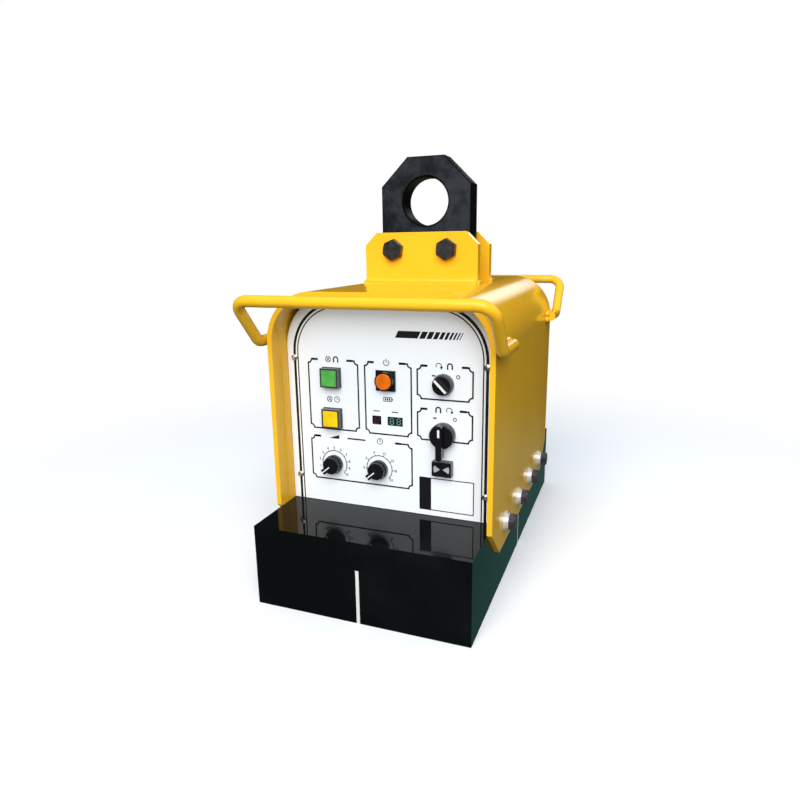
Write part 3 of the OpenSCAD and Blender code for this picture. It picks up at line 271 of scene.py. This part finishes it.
# The strips between the poles. Two bars of pale non-magnetic metal are pressed
# into the block's cross slots and machined flush with it.
strip = Finish("pole_strip", (0.86, 0.87, 0.84), 0.38, 0.15)
drawn = strip.place.noise(420.0, 2.0)
strip.set("Roughness", 0.3 + 0.25 * drawn)
stain = strip.place.noise(40.0, 4.0)
strip.set("Base Color", stain.blend((0.90, 0.91, 0.88, 1.0), (0.76, 0.77, 0.72, 1.0)))
strip.on("pole_separator")


# The windings. Each is copper wire wound in level layers, taped and soaked in
# red-brown varnish, and lies in a groove that a stainless plate closes.
winding = Finish("varnished_winding", (0.36, 0.12, 0.05), 0.35, 0.35, Coat_Weight=0.4)
turns = winding.place.add("TexWave", {"bands_direction": "Z", "wave_profile": "SIN"},
                          {"Vector": winding.place, "Scale": 110.0, "Distortion": 0.3})
tint = winding.place.noise(30.0, 3.0)
layers = turns * 0.6 + tint * 0.4
winding.set("Base Color", layers.blend((0.16, 0.05, 0.02, 1.0), (0.52, 0.20, 0.08, 1.0)))
winding.set("Roughness", 0.28 + 0.2 * tint)
winding.bump(turns, 0.4 * mm)
winding.on("coil_front_left", "coil_front_right", "coil_rear_left", "coil_rear_right")

groove_plate = Finish("ground_stainless", (0.58, 0.58, 0.56), 0.25, 1.0)
scratch = groove_plate.place.add("TexWave", {"bands_direction": "X"},
                                 {"Vector": groove_plate.place, "Scale": 260.0, "Distortion": 2.5})
groove_plate.set("Roughness", 0.2 + 0.18 * scratch)
groove_plate.bump(scratch, 0.02 * mm)
groove_plate.on("groove_plates")


# The windings' leads. Red rubber-sheathed wires rise through rubber grommets in
# the yoke, and two of them run forward below the battery tray.
grommet = Finish("grommet_rubber", (0.02, 0.02, 0.02), 0.6)
grommet.bump(grommet.place.noise(800.0), 0.05 * mm)
grommet.set("Roughness", 0.55 + 0.15 * grommet.place.noise(120.0))
grommet.on("lead_grommets")
sheath = Finish("lead_sheath", (0.42, 0.03, 0.02), 0.42)
sheath.set("Roughness", 0.38 + 0.15 * sheath.place.noise(200.0))
sheath.bump(sheath.place.noise(1500.0), 0.03 * mm)
sheath.on("coil_leads")


# The batteries. Two sealed lead-acid batteries in grey ABS cases stand side by
# side in a zinc-plated tray. A bar across their tops and two threaded rods hold
# them down, and six screws hold the tray and the upright sheet to the block.
battery_case = Finish("battery_case", (0.055, 0.055, 0.06), 0.5)
cast = battery_case.place.noise(1100.0, 2.0)
case_top, post_foot = 0.2805, 0.2812
terminal = battery_case.place.part("Z").over(case_top, post_foot)
battery_case.set("Base Color", terminal.blend((0.055, 0.055, 0.06, 1.0), (0.40, 0.40, 0.42, 1.0)))
battery_case.set("Metallic", terminal)
battery_case.set("Roughness", 0.45 + 0.12 * battery_case.place.noise(25.0))
battery_case.bump(cast, 0.04 * mm)
battery_case.on("battery_front", "battery_rear")

zinc = Finish("zinc_plate", (0.60, 0.60, 0.57), 0.28, 1.0)
spangle = zinc.place.add("TexVoronoi", {}, {"Vector": zinc.place, "Scale": 420.0})
zinc.set("Base Color", spangle.blend((0.66, 0.66, 0.63, 1.0), (0.50, 0.51, 0.49, 1.0)))
zinc.set("Roughness", 0.22 + 0.2 * zinc.place.noise(160.0, 4.0))
zinc.bump(zinc.place.noise(700.0, 2.0), 0.02 * mm)
zinc.on("battery_tray", "clamp_bar", "clamp_rods", "chassis_plate")


def oxide_finish(name, deep, pale):
    """Blackened steel, with the cloudy bloom that the salt bath leaves."""
    oxide = Finish(name, deep[:3], 0.35, 0.4)
    bloom = oxide.place.noise(210.0, 4.0)
    oxide.set("Base Color", bloom.over(0.3, 0.75).blend(deep, pale))
    oxide.set("Roughness", 0.24 + 0.16 * bloom)
    oxide.bump(oxide.place.noise(900.0), 0.03 * mm)
    return oxide


black_oxide = oxide_finish("black_oxide", (0.055, 0.052, 0.064, 1.0), (0.10, 0.094, 0.115, 1.0))
black_oxide.on("floor_screws")


# What the upright sheet carries. A green circuit board with relays, capacitors
# and cooled transistors drives the windings through two contactors, and the
# charger sits on the shelf above the batteries.
board = Finish("circuit_board", (0.02, 0.14, 0.05), 0.4)
pillars_and_board = 14.6 * mm
board_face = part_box("control_board")[1].y - pillars_and_board
on_top = (board_face - board.place.part("Y")).over(0.2 * mm, 0.4 * mm)
copper_mask = board.place.add("TexBrick", {},
                              {"Vector": board.place, "Scale": 160.0, "Mortar Size": 0.03}, out=1)
resist = copper_mask.blend((0.02, 0.14, 0.05, 1.0), (0.03, 0.24, 0.09, 1.0))
bodies = board.place.part("X").over(0.0, 0.002).blend((0.30, 0.31, 0.33, 1.0), (0.03, 0.03, 0.05, 1.0))
board.set("Base Color", on_top.blend(resist, bodies))
board.set("Roughness", 0.3 + 0.15 * board.place.noise(300.0))
board.on("control_board")

case_plastic = Finish("moulded_case", (0.02, 0.02, 0.023), 0.32, Coat_Weight=0.15)
case_plastic.set("Roughness", 0.27 + 0.16 * case_plastic.place.noise(90.0, 4.0))
case_plastic.bump(case_plastic.place.noise(1600.0, 2.0), 0.02 * mm)
case_plastic.on("contactors")

strip_plastic = Finish("terminal_plastic", (0.58, 0.52, 0.36), 0.5)
strip_plastic.set("Roughness", 0.45 + 0.15 * strip_plastic.place.noise(150.0))
strip_plastic.bump(strip_plastic.place.noise(900.0), 0.03 * mm)
strip_plastic.on("terminal_strip")
zinc.on("terminal_screws")

anodised = Finish("anodised_case", (0.42, 0.44, 0.47), 0.38, 0.9)
brushed = anodised.place.add("TexWave", {"bands_direction": "Z"},
                             {"Vector": anodised.place, "Scale": 300.0, "Distortion": 4.0})
anodised.set("Roughness", 0.32 + 0.14 * brushed)
anodised.bump(brushed, 0.01 * mm)
anodised.on("charger")


# The cover and its handles. A thick steel plate is bent into an arch, with a
# round bar welded across each end and lugs inside for the panels' screws. It is
# all sprayed in thick glossy yellow enamel, which leaves a faint ripple.
yellow = (0.94, 0.515, 0.024, 1.0)
deep_yellow = (0.90, 0.46, 0.016, 1.0)
yellow_enamel = Finish("yellow_enamel", yellow[:3], 0.13, IOR=1.36)
cloud = yellow_enamel.place.noise(7.0, 3.0).over(0.3, 0.75)
peel = yellow_enamel.place.noise(340.0, 2.0)
wave = yellow_enamel.place.noise(34.0, 2.0)
yellow_enamel.set("Base Color", cloud.blend(yellow, deep_yellow))
yellow_enamel.set("Roughness", 0.11 + 0.07 * yellow_enamel.place.noise(60.0, 4.0))
yellow_enamel.bump(peel * 0.35 + wave, 0.09 * mm)
yellow_enamel.on("cover", "panel_lugs", "handle_front", "handle_rear")


# The side bolts. Eight blackened hexagon bolts clamp the cover's legs to the
# block, each over a split spring washer and a bright plain washer.
bright = Finish("bright_washer", (0.72, 0.74, 0.77), 0.22, 0.35)
turned = bright.place.noise(500.0, 3.0)
bright.set("Roughness", 0.16 + 0.2 * turned)
bright.bump(turned, 0.02 * mm)
bright.on("side_washers", "side_spring_washers")
black_oxide.on("side_bolts")


# The hanger plates. Two thick steel plates with cut corners stand on the cover's
# top and are painted with it. Beads laid by hand join them to it, and show
# through the paint as small scales.
yellow_enamel.on("hanger_plate_front", "hanger_plate_rear")


def keep(name, mesh_maker, body, finish, smooth=40.0):
    """Stores a bmesh as a piece that rides on a body."""
    mesh = bpy.data.meshes.new(name)
    mesh_maker.to_mesh(mesh)
    mesh_maker.free()
    piece = bpy.data.objects.new(name, mesh)
    bpy.context.scene.collection.objects.link(piece)
    mesh.shade_smooth()
    mesh.set_sharp_from_angle(angle=math.radians(smooth))
    finish.on(piece)
    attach(piece, body)


def weld_bead(maker, start, end, radius, scale_pitch):
    """A scaled bead from start to end, in metres."""
    run = end - start
    along = run.normalized()
    side = along.orthogonal().normalized()
    lift = along.cross(side)
    rings = max(8, int(run.length / scale_pitch * 4))
    sides = 16
    last = None
    for i in range(rings + 1):
        share = i / rings
        ebb = math.sqrt(max(0.0, 1 - abs(2 * share - 1) ** 14))
        scale = 1 + 0.05 * abs(math.sin(math.pi * share * run.length / scale_pitch))
        size = max(0.15, ebb) * radius * scale
        centre = start + run * share
        ring = []
        for k in range(sides):
            turn = 2 * math.pi * k / sides
            ring.append(maker.verts.new(centre + (side * math.cos(turn) + lift * math.sin(turn)) * size))
        if last:
            for k in range(sides):
                maker.faces.new((last[k], last[(k + 1) % sides], ring[(k + 1) % sides], ring[k]))
        else:
            maker.faces.new(ring[::-1])
        last = ring
    maker.faces.new(last)


cover_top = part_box("cover")[1].z
hanger_low, hanger_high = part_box("hanger_plate_front")
fillet_leg, plate_t = 8 * mm, 12 * mm
seam_out = 3.2 * mm
end_z = cover_top + 1.4 * mm
for label, side in (("front", -1), ("rear", 1)):
    beads = bmesh.new()
    outer = max(abs(hanger_low.y), abs(hanger_high.y)) - fillet_leg
    seam_y = side * (outer + seam_out)
    seam_z = cover_top + seam_out
    weld_bead(beads, Vector((hanger_low.x - 1 * mm, seam_y, seam_z)),
              Vector((hanger_high.x + 1 * mm, seam_y, seam_z)), 4.2 * mm, 5 * mm)
    for end_x in (hanger_low.x, hanger_high.x):
        weld_bead(beads, Vector((end_x, side * (outer - plate_t), end_z)),
                  Vector((end_x, side * (outer + 3 * mm), end_z)), 3.2 * mm, 4 * mm)
    keep("hanger_weld_" + label, beads, "magnet", yellow_enamel)


# The lifting eye. A thick plate of heat-treated steel, cut to shape, bored for
# the crane's shackle and bolted between the hanger plates over spacers. Its
# scale is mottled dark blue and grey, and its edges and bore carry painted shade.
eye_steel = Finish("eye_steel", (0.02, 0.022, 0.028), 0.4, IOR=1.18)
patches = eye_steel.place.noise(38.0, 6.0, 0.62)
flecks = eye_steel.place.noise(260.0, 5.0, 0.6)
on_face = eye_steel.facing.part("Y").math("ABSOLUTE", eye_steel.facing.part("Y")).over(0.85, 0.95)
scale = patches.over(0.36, 0.66).blend((0.007, 0.009, 0.012, 1.0), (0.026, 0.031, 0.038, 1.0))
mottled = (flecks.over(0.56, 0.75) * 0.4).blend(scale, (0.055, 0.064, 0.074, 1.0))
# The flat faces carry the mottled scale; the cut edges and the bore are made near black, darker than the
# faces: painted shade.
eye_steel.set("Base Color", on_face.blend(grey(0.0025), mottled))
eye_steel.set("Roughness", 0.24 + 0.26 * patches)
eye_steel.bump(flecks + patches * 0.6, 0.08 * mm)
eye_steel.on("eye_plate")
bright.on("hanger_washers", "hanger_spacers")
dark_oxide = oxide_finish("dark_oxide", (0.020, 0.020, 0.024, 1.0), (0.046, 0.044, 0.052, 1.0))
dark_oxide.on("hanger_bolts", "hanger_nuts")


# The control panel. A sheet steel front, powder coated off-white, set back
# inside the cover and screwed to the lugs. Black lines are printed round its
# rim and round each group of controls.
ink_stand = 0.12 * mm
print_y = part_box("front_panel")[0].y - ink_stand
powder = Finish("panel_powder", (0.88, 0.885, 0.89), 0.34, Coat_Weight=0.15)
powder.set("Roughness", 0.3 + 0.1 * powder.place.noise(120.0, 3.0))
drift = powder.place.noise(4.0, 2.0)
powder.set("Base Color", drift.blend((0.89, 0.925, 0.945, 1.0), (0.865, 0.90, 0.92, 1.0)))
powder.bump(powder.place.noise(650.0, 2.0), 0.035 * mm)
powder.on("front_panel")
zinc.on("panel_screws")

ink = Finish("panel_ink", (0.006, 0.006, 0.008), 0.5, Specular_IOR_Level=0.25)
ink.set("Roughness", 0.45 + 0.1 * ink.place.noise(300.0))


def ink_stroke(maker, points, width, closed=False, y=None):
    """A flat printed line through points (x, z) in millimetres, mitred."""
    spots = [Vector(p) for p in points]
    count = len(spots)
    rails = []
    for i, spot in enumerate(spots):
        before = spots[i - 1] if (i or closed) else None
        after = spots[(i + 1) % count] if (i < count - 1 or closed) else None
        first = (spot - before).normalized() if before is not None else (after - spot).normalized()
        second = (after - spot).normalized() if after is not None else first
        normal_1 = Vector((-first.y, first.x))
        normal_2 = Vector((-second.y, second.x))
        middle = (normal_1 + normal_2).normalized()
        reach = width / 2 / max(0.3, middle.dot(normal_1))
        pair = []
        for offset in (middle * reach, middle * -reach):
            at = spot + offset
            pair.append(maker.verts.new((at.x * mm, print_y if y is None else y, at.y * mm)))
        rails.append(pair)
    for i in range(count if closed else count - 1):
        a, b = rails[i], rails[(i + 1) % count]
        maker.faces.new((a[0], a[1], b[1], b[0]))


def ink_patch(maker, points, y=None):
    maker.faces.new([maker.verts.new((x * mm, print_y if y is None else y, z * mm)) for x, z in points])


def ink_arc(cx, cz, radius, start, end, steps=24):
    """Points on an arc, in degrees clockwise from straight up."""
    turns = [math.radians(start + (end - start) * i / steps) for i in range(steps + 1)]
    return [(cx + radius * math.sin(t), cz + radius * math.cos(t)) for t in turns]


def rim_line(half, top, radius, low):
    """The outline that follows the cover's arch, from foot to foot."""
    left = ink_arc(-half + radius, top - radius, radius, -90, 0, 16)
    right = ink_arc(half - radius, top - radius, radius, 0, 90, 16)
    return [(-half, low)] + left + right + [(half, low)]


def framed_group(maker, x0, z0, x1, z1, gaps):
    """A box with hollow corners, whose top line leaves gaps for its signs."""
    hollow = 4.5
    line, stop, stop_length = 1.85, 1.85 * 1.4, 8.0
    corners = []
    for cx, cz, start in ((x0, z1, 90), (x0, z0, 0), (x1, z0, -90), (x1, z1, 180)):
        corners.append(ink_arc(cx, cz, hollow, start, start + 90, 8))
    outline = [point for corner in corners for point in corner]
    stops = [x for gap in gaps for x in gap]
    ink_stroke(maker, [(stops[0], z1)] + outline + [(stops[-1], z1)], line)
    for a, b in zip(stops[1:-1:2], stops[2:-1:2]):
        ink_stroke(maker, [(a, z1), (b, z1)], line)
    for x, outward in ((stops[0], -1), (stops[-1], 1)):
        ink_stroke(maker, [(x, z1), (x + outward * stop_length, z1)], stop)


printed = bmesh.new()
rim_foot = 99.0
for half, top, bend, width in ((119.8, 347.6, 60.0, 3.3), (115.4, 343.0, 55.5, 1.5)):
    ink_stroke(printed, rim_line(half, top, bend, rim_foot), width)
group_boxes = {"lamps": (-101.5, 194.4, -36.0, 280.3), "power": (-27.0, 194.0, 31.0, 280.3),
               "mode": (38.4, 241.2, 103.6, 279.6), "lever": (38.4, 192.6, 103.6, 229.4),
               "dials": (-102.0, 129.0, 31.0, 184.0)}
sign_gaps = {"lamps": [(-88.5, -50.5)], "power": [(-15.0, 16.0)], "mode": [(50.7, 90.7)],
             "lever": [(50.4, 88.7)], "dials": [(-88.7, -52.4), (-28.7, 9.8)]}
for group, box in group_boxes.items():
    framed_group(printed, *box, sign_gaps[group])

# slanted bars that grow thinner, in the upper right of the panel
bar_x, bar_gap = 12.0, 1.9
bar_low, bar_high = 310.0, 318.0
slant = 4.0
for width in [27.0, 6.6, 5.8, 5.0, 4.2, 3.4, 2.7, 2.1, 1.5, 1.0]:
    ink_patch(printed, [(bar_x, bar_low), (bar_x + width, bar_low),
                        (bar_x + width + slant, bar_high), (bar_x + slant, bar_high)])
    bar_x += width + bar_gap

# a plain boxed field with a dark column, in the lower right
field_left, field_right, field_low, field_high = 40.6, 106.0, 106.0, 145.8
column_right = 54.6
ink_stroke(printed, [(field_left, field_low), (field_right, field_low),
                     (field_right, field_high), (field_left, field_high)], 1.2, closed=True)
ink_patch(printed, [(field_left, field_low), (column_right, field_low),
                    (column_right, field_high), (field_left, field_high)])


def lamp_sign(maker, cx, cz):
    """A ring with a cross: a signal lamp."""
    ring = 3.3
    ink_stroke(maker, ink_arc(cx, cz, ring, 0, 345, 23), 0.8, closed=True)
    for turn in (45, 135):
        east, north = ring * math.sin(math.radians(turn)), ring * math.cos(math.radians(turn))
        reach = [(cx + s * east, cz + s * north) for s in (-1, 1)]
        ink_stroke(maker, reach, 0.8)


def power_sign(maker, cx, cz):
    """A broken ring with a bar through its gap: mains on and off."""
    ink_stroke(maker, ink_arc(cx, cz, 3.4, 35, 325), 0.9)
    ink_stroke(maker, [(cx, cz), (cx, cz + 4.4)], 0.9)


def cell_sign(maker, cx, cz):
    """A small battery."""
    case = [(cx - 5, cz - 2.4), (cx + 5, cz - 2.4), (cx + 5, cz + 2.4), (cx - 5, cz + 2.4)]
    ink_stroke(maker, case, 0.8, closed=True)
    ink_patch(maker, [(cx + 5.3, cz - 1.2), (cx + 6.5, cz - 1.2),
                      (cx + 6.5, cz + 1.2), (cx + 5.3, cz + 1.2)])
    for k in (-2.6, 0.0, 2.6):
        ink_patch(maker, [(cx + k - 0.9, cz - 1.4), (cx + k + 0.9, cz - 1.4),
                          (cx + k + 0.9, cz + 1.4), (cx + k - 0.9, cz + 1.4)])


def magnet_sign(maker, cx, cz):
    """A horseshoe magnet, its poles down."""
    arch = ink_arc(cx, cz + 0.4, 2.7, -90, 90, 12)
    ink_stroke(maker, [(cx - 2.7, cz - 3.6)] + arch + [(cx + 2.7, cz - 3.6)], 1.7)


def turning_sign(maker, cx, cz):
    """An arrow that goes round: worked by turning."""
    ink_stroke(maker, ink_arc(cx, cz, 3.2, -120, 110), 0.9)
    tip = ink_arc(cx, cz, 3.2, 110, 125, 1)
    ink_patch(maker, [(tip[0][0] + 2.0, tip[0][1] + 0.4), (tip[0][0] - 1.6, tip[0][1] + 0.6),
                      (tip[1][0] + 0.2, tip[1][1] - 2.4)])


def wedge_sign(maker, cx, cz):
    """A wedge that grows to the right: more or less."""
    ink_patch(maker, [(cx - 7, cz - 2.2), (cx + 7, cz - 2.2), (cx + 7, cz + 2.6)])


def clock_sign(maker, cx, cz):
    """A clock face."""
    ink_stroke(maker, ink_arc(cx, cz, 3.5, 0, 345, 23), 0.8, closed=True)
    ink_stroke(maker, [(cx, cz + 2.6), (cx, cz), (cx + 1.9, cz)], 0.7)


for beside_lamp, sign_z in ((magnet_sign, 281.0), (clock_sign, 232.0)):
    lamp_sign(printed, -74.5, sign_z)
    beside_lamp(printed, -64.5, sign_z)
power_sign(printed, 0.5, 280.6)
cell_sign(printed, 1.5, 237.0)
turning_sign(printed, 64.0, 280.0)
magnet_sign(printed, 77.0, 280.0)
magnet_sign(printed, 63.5, 229.2)
turning_sign(printed, 76.5, 229.2)
wedge_sign(printed, -70.5, 184.6)
clock_sign(printed, -9.5, 184.6)

# a dash over each of the meter's windows, then on and off beside both switches
for window_x in (-12.8, 10.4):
    ink_stroke(printed, [(window_x - 4, 222.0), (window_x + 4, 222.0)], 1.2)
for on_x, off_x, switch_z in ((58.0, 86.6, 268.6), (59.2, 83.0, 219.4)):
    ink_stroke(printed, [(on_x - 2.2, switch_z), (on_x + 2.2, switch_z)], 1.6)
    ink_stroke(printed, ink_arc(off_x, switch_z, 1.9, 0, 345, 23), 0.9, closed=True)

keep("panel_print", printed, "magnet", ink)


# The square lamps. A dark moulded frame holds a translucent lens with fine
# prisms inside its face, green above and yellow below.
lamp_frame = Finish("lamp_frame", (0.035, 0.034, 0.042), 0.3, Coat_Weight=0.2)
lamp_frame.set("Roughness", 0.26 + 0.14 * lamp_frame.place.noise(140.0))
lamp_frame.bump(lamp_frame.place.noise(1200.0), 0.02 * mm)
lamp_frame.on("green_lamp_body", "yellow_lamp_body")


def lens_finish(name, deep, bright_tone, glow):
    """A translucent face, clouded between two tones over fine prisms, with a faint painted glow in the
    same tones.
    """
    lens = Finish(name, deep[:3], 0.18, Coat_Weight=0.5, Coat_Roughness=0.05, IOR=1.49)
    across_x = lens.place.part("X") * 1000.0
    across_z = lens.place.part("Z") * 1000.0
    fine = 3.0
    prisms = across_x.math("SINE", across_x * fine) * across_z.math("SINE", across_z * fine)
    cloudy = lens.place.noise(90.0, 2.0)
    tone = (prisms * 0.18 + cloudy).over(0.25, 0.75).blend(deep, bright_tone)
    lens.set("Base Color", tone)
    # a faint painted glow in the lens's own tones, standing in for light passing through the lens
    lens.set("Emission Color", tone)
    lens.set("Emission Strength", glow)
    lens.bump(prisms, 0.03 * mm)
    return lens


green_lens = lens_finish("green_lens", (0.05, 0.33, 0.05, 1.0), (0.12, 0.47, 0.09, 1.0), 0.06)
green_lens.on("green_lamp_lens")
yellow_lens = lens_finish("yellow_lens", (0.74, 0.48, 0.004, 1.0), (0.95, 0.68, 0.012, 1.0), 0.05)
yellow_lens.on("yellow_lamp_lens")


# The main power button. A round translucent orange button moves in a square
# black base, and a spring pushes it out again.
black_moulding = Finish("black_moulding", (0.008, 0.008, 0.010), 0.24, IOR=1.38, Coat_Weight=0.1)
black_moulding.set("Roughness", 0.17 + 0.14 * black_moulding.place.noise(130.0, 4.0))
black_moulding.bump(black_moulding.place.noise(1300.0, 2.0), 0.02 * mm)
black_moulding.on("power_switch")
orange_lens = lens_finish("orange_button", (0.60, 0.10, 0.003, 1.0), (0.82, 0.17, 0.007, 1.0), 0.04)
orange_lens.on("power_button")


# The voltage meter. Its moulded case is fixed behind the panel, with a dark
# filter over each window, and a faint painted glow shows the display's bars.
case_plastic.on("voltage_meter")
for node, shade, dim in (("stop_window", (0.022, 0.012, 0.020), (0.030, 0.014, 0.022)),
                         ("normal_window", (0.008, 0.022, 0.018), (0.16, 0.30, 0.24))):
    filter_glass = Finish(node + "_filter", shade, 0.12, Coat_Weight=0.6)
    filter_glass.set("Roughness", 0.1 + 0.06 * filter_glass.place.noise(200.0))
    filter_glass.on(node)
    bar_paint = Finish(node + "_bars", dim, 0.3)
    # the display's bars glow faintly in their own colour: painted light, so that they are faintly seen
    # behind the filter
    bar_paint.set("Emission Color", (*dim, 1.0))
    bar_paint.set("Emission Strength", 0.15)
    bar_paint.set("Roughness", 0.26 + 0.1 * bar_paint.place.noise(300.0))
    low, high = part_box(node)
    digits = bmesh.new()
    window_y = low.y - 0.05 * mm
    wide, tall, bar, gap, pitch = 4.2, 7.4, 0.9, 0.6, 8.6
    count = 1 if node == "stop_window" else 2
    for k in range(count):
        cx = ((low.x + high.x) / 2 + (k - (count - 1) / 2) * pitch * mm) / mm
        cz = (low.z + high.z) / 2 / mm
        for z in (-tall / 2, 0, tall / 2):
            level_bar = [(cx - wide / 2 + gap, cz + z), (cx + wide / 2 - gap, cz + z)]
            ink_stroke(digits, level_bar, bar, y=window_y)
        for x in (-wide / 2, wide / 2):
            for z in (-tall / 2, 0):
                upright_bar = [(cx + x, cz + z + gap), (cx + x, cz + z + tall / 2 - gap)]
                ink_stroke(digits, upright_bar, bar, y=window_y)
    keep(node + "_digits", digits, "magnet", bar_paint)


# The mode switch. A grey ring is screwed on a rotary switch, and a black knob
# with a straight grip turns in it. A white line marks the grip.
ring_plastic = Finish("switch_ring", (0.085, 0.09, 0.105), 0.3)
ring_plastic.set("Roughness", 0.25 + 0.15 * ring_plastic.place.noise(150.0))
ring_plastic.bump(ring_plastic.place.noise(900.0), 0.02 * mm)
ring_plastic.on("mode_switch")
black_moulding.on("mode_knob")
zinc.on("switch_ring_nuts")
white_paint = Finish("white_mark", (0.82, 0.82, 0.80), 0.45)
white_paint.set("Roughness", 0.4 + 0.12 * white_paint.place.noise(400.0))


def raised_bar(name, body, centre, turn, inner, outer, width, face_y, thick=0.35):
    """A painted line on a knob's face, turn degrees clockwise from up."""
    maker = bmesh.new()
    cx, cz = centre.x, centre.z
    reach = math.radians(turn)
    along = Vector((math.sin(reach), 0, math.cos(reach)))
    aside = Vector((math.cos(reach), 0, -math.sin(reach)))
    top, foot = face_y - thick * mm, face_y + 0.1 * mm
    rings = []
    for y, inset in ((foot, 0), (top, 0.15 * mm)):
        ring = []
        for a, s in ((inner, -1), (outer, -1), (outer, 1), (inner, 1)):
            spot = Vector((cx, y, cz)) + along * a * mm + aside * s * (width * mm / 2 - inset)
            ring.append(maker.verts.new(spot))
        rings.append(ring)
    maker.faces.new(rings[1])
    for k in range(4):
        maker.faces.new((rings[0][k], rings[0][(k + 1) % 4], rings[1][(k + 1) % 4], rings[1][k]))
    bmesh.ops.recalc_face_normals(maker, faces=maker.faces)
    keep(name, maker, body, white_paint, smooth=20.0)


def middle_of(node):
    low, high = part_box(node)
    return (low + high) / 2


mode_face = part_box("mode_knob")[0].y
raised_bar("mode_mark", "mode_knob", middle_of("mode_knob"), -45, -9.6, 9.6, 2.9, mode_face)


# The lever switch. A round hub carries a bar that hangs straight down at rest
# and springs back to the middle, with a white mark above. The black block below
# it has two pale wedges let into its face.
black_moulding.on("lever_switch", "lever_handle", "lever_catch")
lever_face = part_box("lever_handle")[0].y
hub = middle_of("mode_switch")
hub.z = middle_of("lever_switch").z
raised_bar("lever_mark", "lever", hub, 0, 2.0, 11.0, 2.6, lever_face)
catch_low, catch_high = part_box("lever_catch")
catch_x, catch_z = (catch_low.x + catch_high.x) / 2 / mm, (catch_low.z + catch_high.z) / 2 / mm
wedge_r = 9.9
half_gap = 1.0
wedge_y = catch_low.y + 0.9 * mm
wedges = bmesh.new()
for side in (-1, 1):
    rim = ink_arc(catch_x, catch_z, wedge_r, side * 60.5, side * 119.5, 8)
    ink_patch(wedges, [(catch_x + side * half_gap, catch_z)] + rim, y=wedge_y)
wedge_grey = Finish("wedge_grey", (0.42, 0.43, 0.43), 0.4)
wedge_grey.set("Roughness", 0.36 + 0.12 * wedge_grey.place.noise(300.0))
keep("catch_wedges", wedges, "magnet", wedge_grey)


# The two dials. Black moulded knobs with a pointed grip and a white line stand
# on potentiometer shafts, over scales printed on the panel.
black_moulding.on("level_knob", "time_knob")
can = Finish("tinned_can", (0.40, 0.40, 0.37), 0.35, 0.9)
can.set("Roughness", 0.3 + 0.2 * can.place.noise(180.0))
can.bump(can.place.noise(600.0), 0.02 * mm)
can.on("level_pot", "time_pot")
brass = Finish("shaft_brass", (0.62, 0.50, 0.26), 0.25, 1.0)
brass.set("Roughness", 0.2 + 0.15 * brass.place.noise(400.0))
brass.on("level_shaft", "time_shaft")


def scale_number(maker, text, cx, cz, height):
    """A printed number centred on (cx, cz), in millimetres."""
    curve = bpy.data.curves.new("number", "FONT")
    curve.body = text
    curve.align_x = "CENTER"
    curve.align_y = "CENTER"
    curve.size = height * 1.4 * mm
    curve.resolution_u = 3
    curve.offset = 0.09 * mm
    holder = bpy.data.objects.new("number", curve)
    bpy.context.scene.collection.objects.link(holder)
    bpy.context.view_layer.update()
    flat = bpy.data.meshes.new_from_object(holder)
    stand = Matrix.Translation((cx * mm, print_y, cz * mm)) @ Matrix.Rotation(math.pi / 2, 4, "X")
    flat.transform(stand)
    maker.from_mesh(flat)
    bpy.data.meshes.remove(flat)
    bpy.data.objects.remove(holder)
    bpy.data.curves.remove(curve)


first_mark = -130.0
travel = 260.0
scale_r, tick_r, half_tick_r, number_r = 16.4, 18.0, 17.4, 20.4
for name, node, body, numbers in (("level", "level_knob", "level_dial", range(0, 11)),
                                  ("time", "time_knob", "time_dial", range(0, 22, 3))):
    shaft = middle_of(name + "_shaft")
    cx, cz = shaft.x / mm, shaft.z / mm
    scale_print = bmesh.new()
    ink_stroke(scale_print, ink_arc(cx, cz, scale_r, first_mark, first_mark + travel, 48), 0.9)
    last = len(numbers) - 1
    for k, number in enumerate(numbers):
        turn = first_mark + travel * k / last
        tick = ink_arc(cx, cz, scale_r, turn, turn, 1)[0], ink_arc(cx, cz, tick_r, turn, turn, 1)[0]
        ink_stroke(scale_print, tick, 1.1)
        spot = ink_arc(cx, cz, number_r, turn, turn, 1)[0]
        scale_number(scale_print, str(number), spot[0], spot[1], 3.3)
        if k < last:
            half = turn + travel / last / 2
            ink_stroke(scale_print, [ink_arc(cx, cz, scale_r, half, half, 1)[0],
                                     ink_arc(cx, cz, half_tick_r, half, half, 1)[0]], 0.8)
    keep(name + "_scale", scale_print, "magnet", ink)
    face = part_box(node)[0].y
    raised_bar(name + "_mark", body, shaft, first_mark, 2.0, 14.2, 1.6, face)


# The rear panel. A sheet like the front one, with no print, closes the cover's
# other end. It carries the black socket through which the batteries are charged.
powder.on("rear_panel")
black_moulding.on("charging_socket")
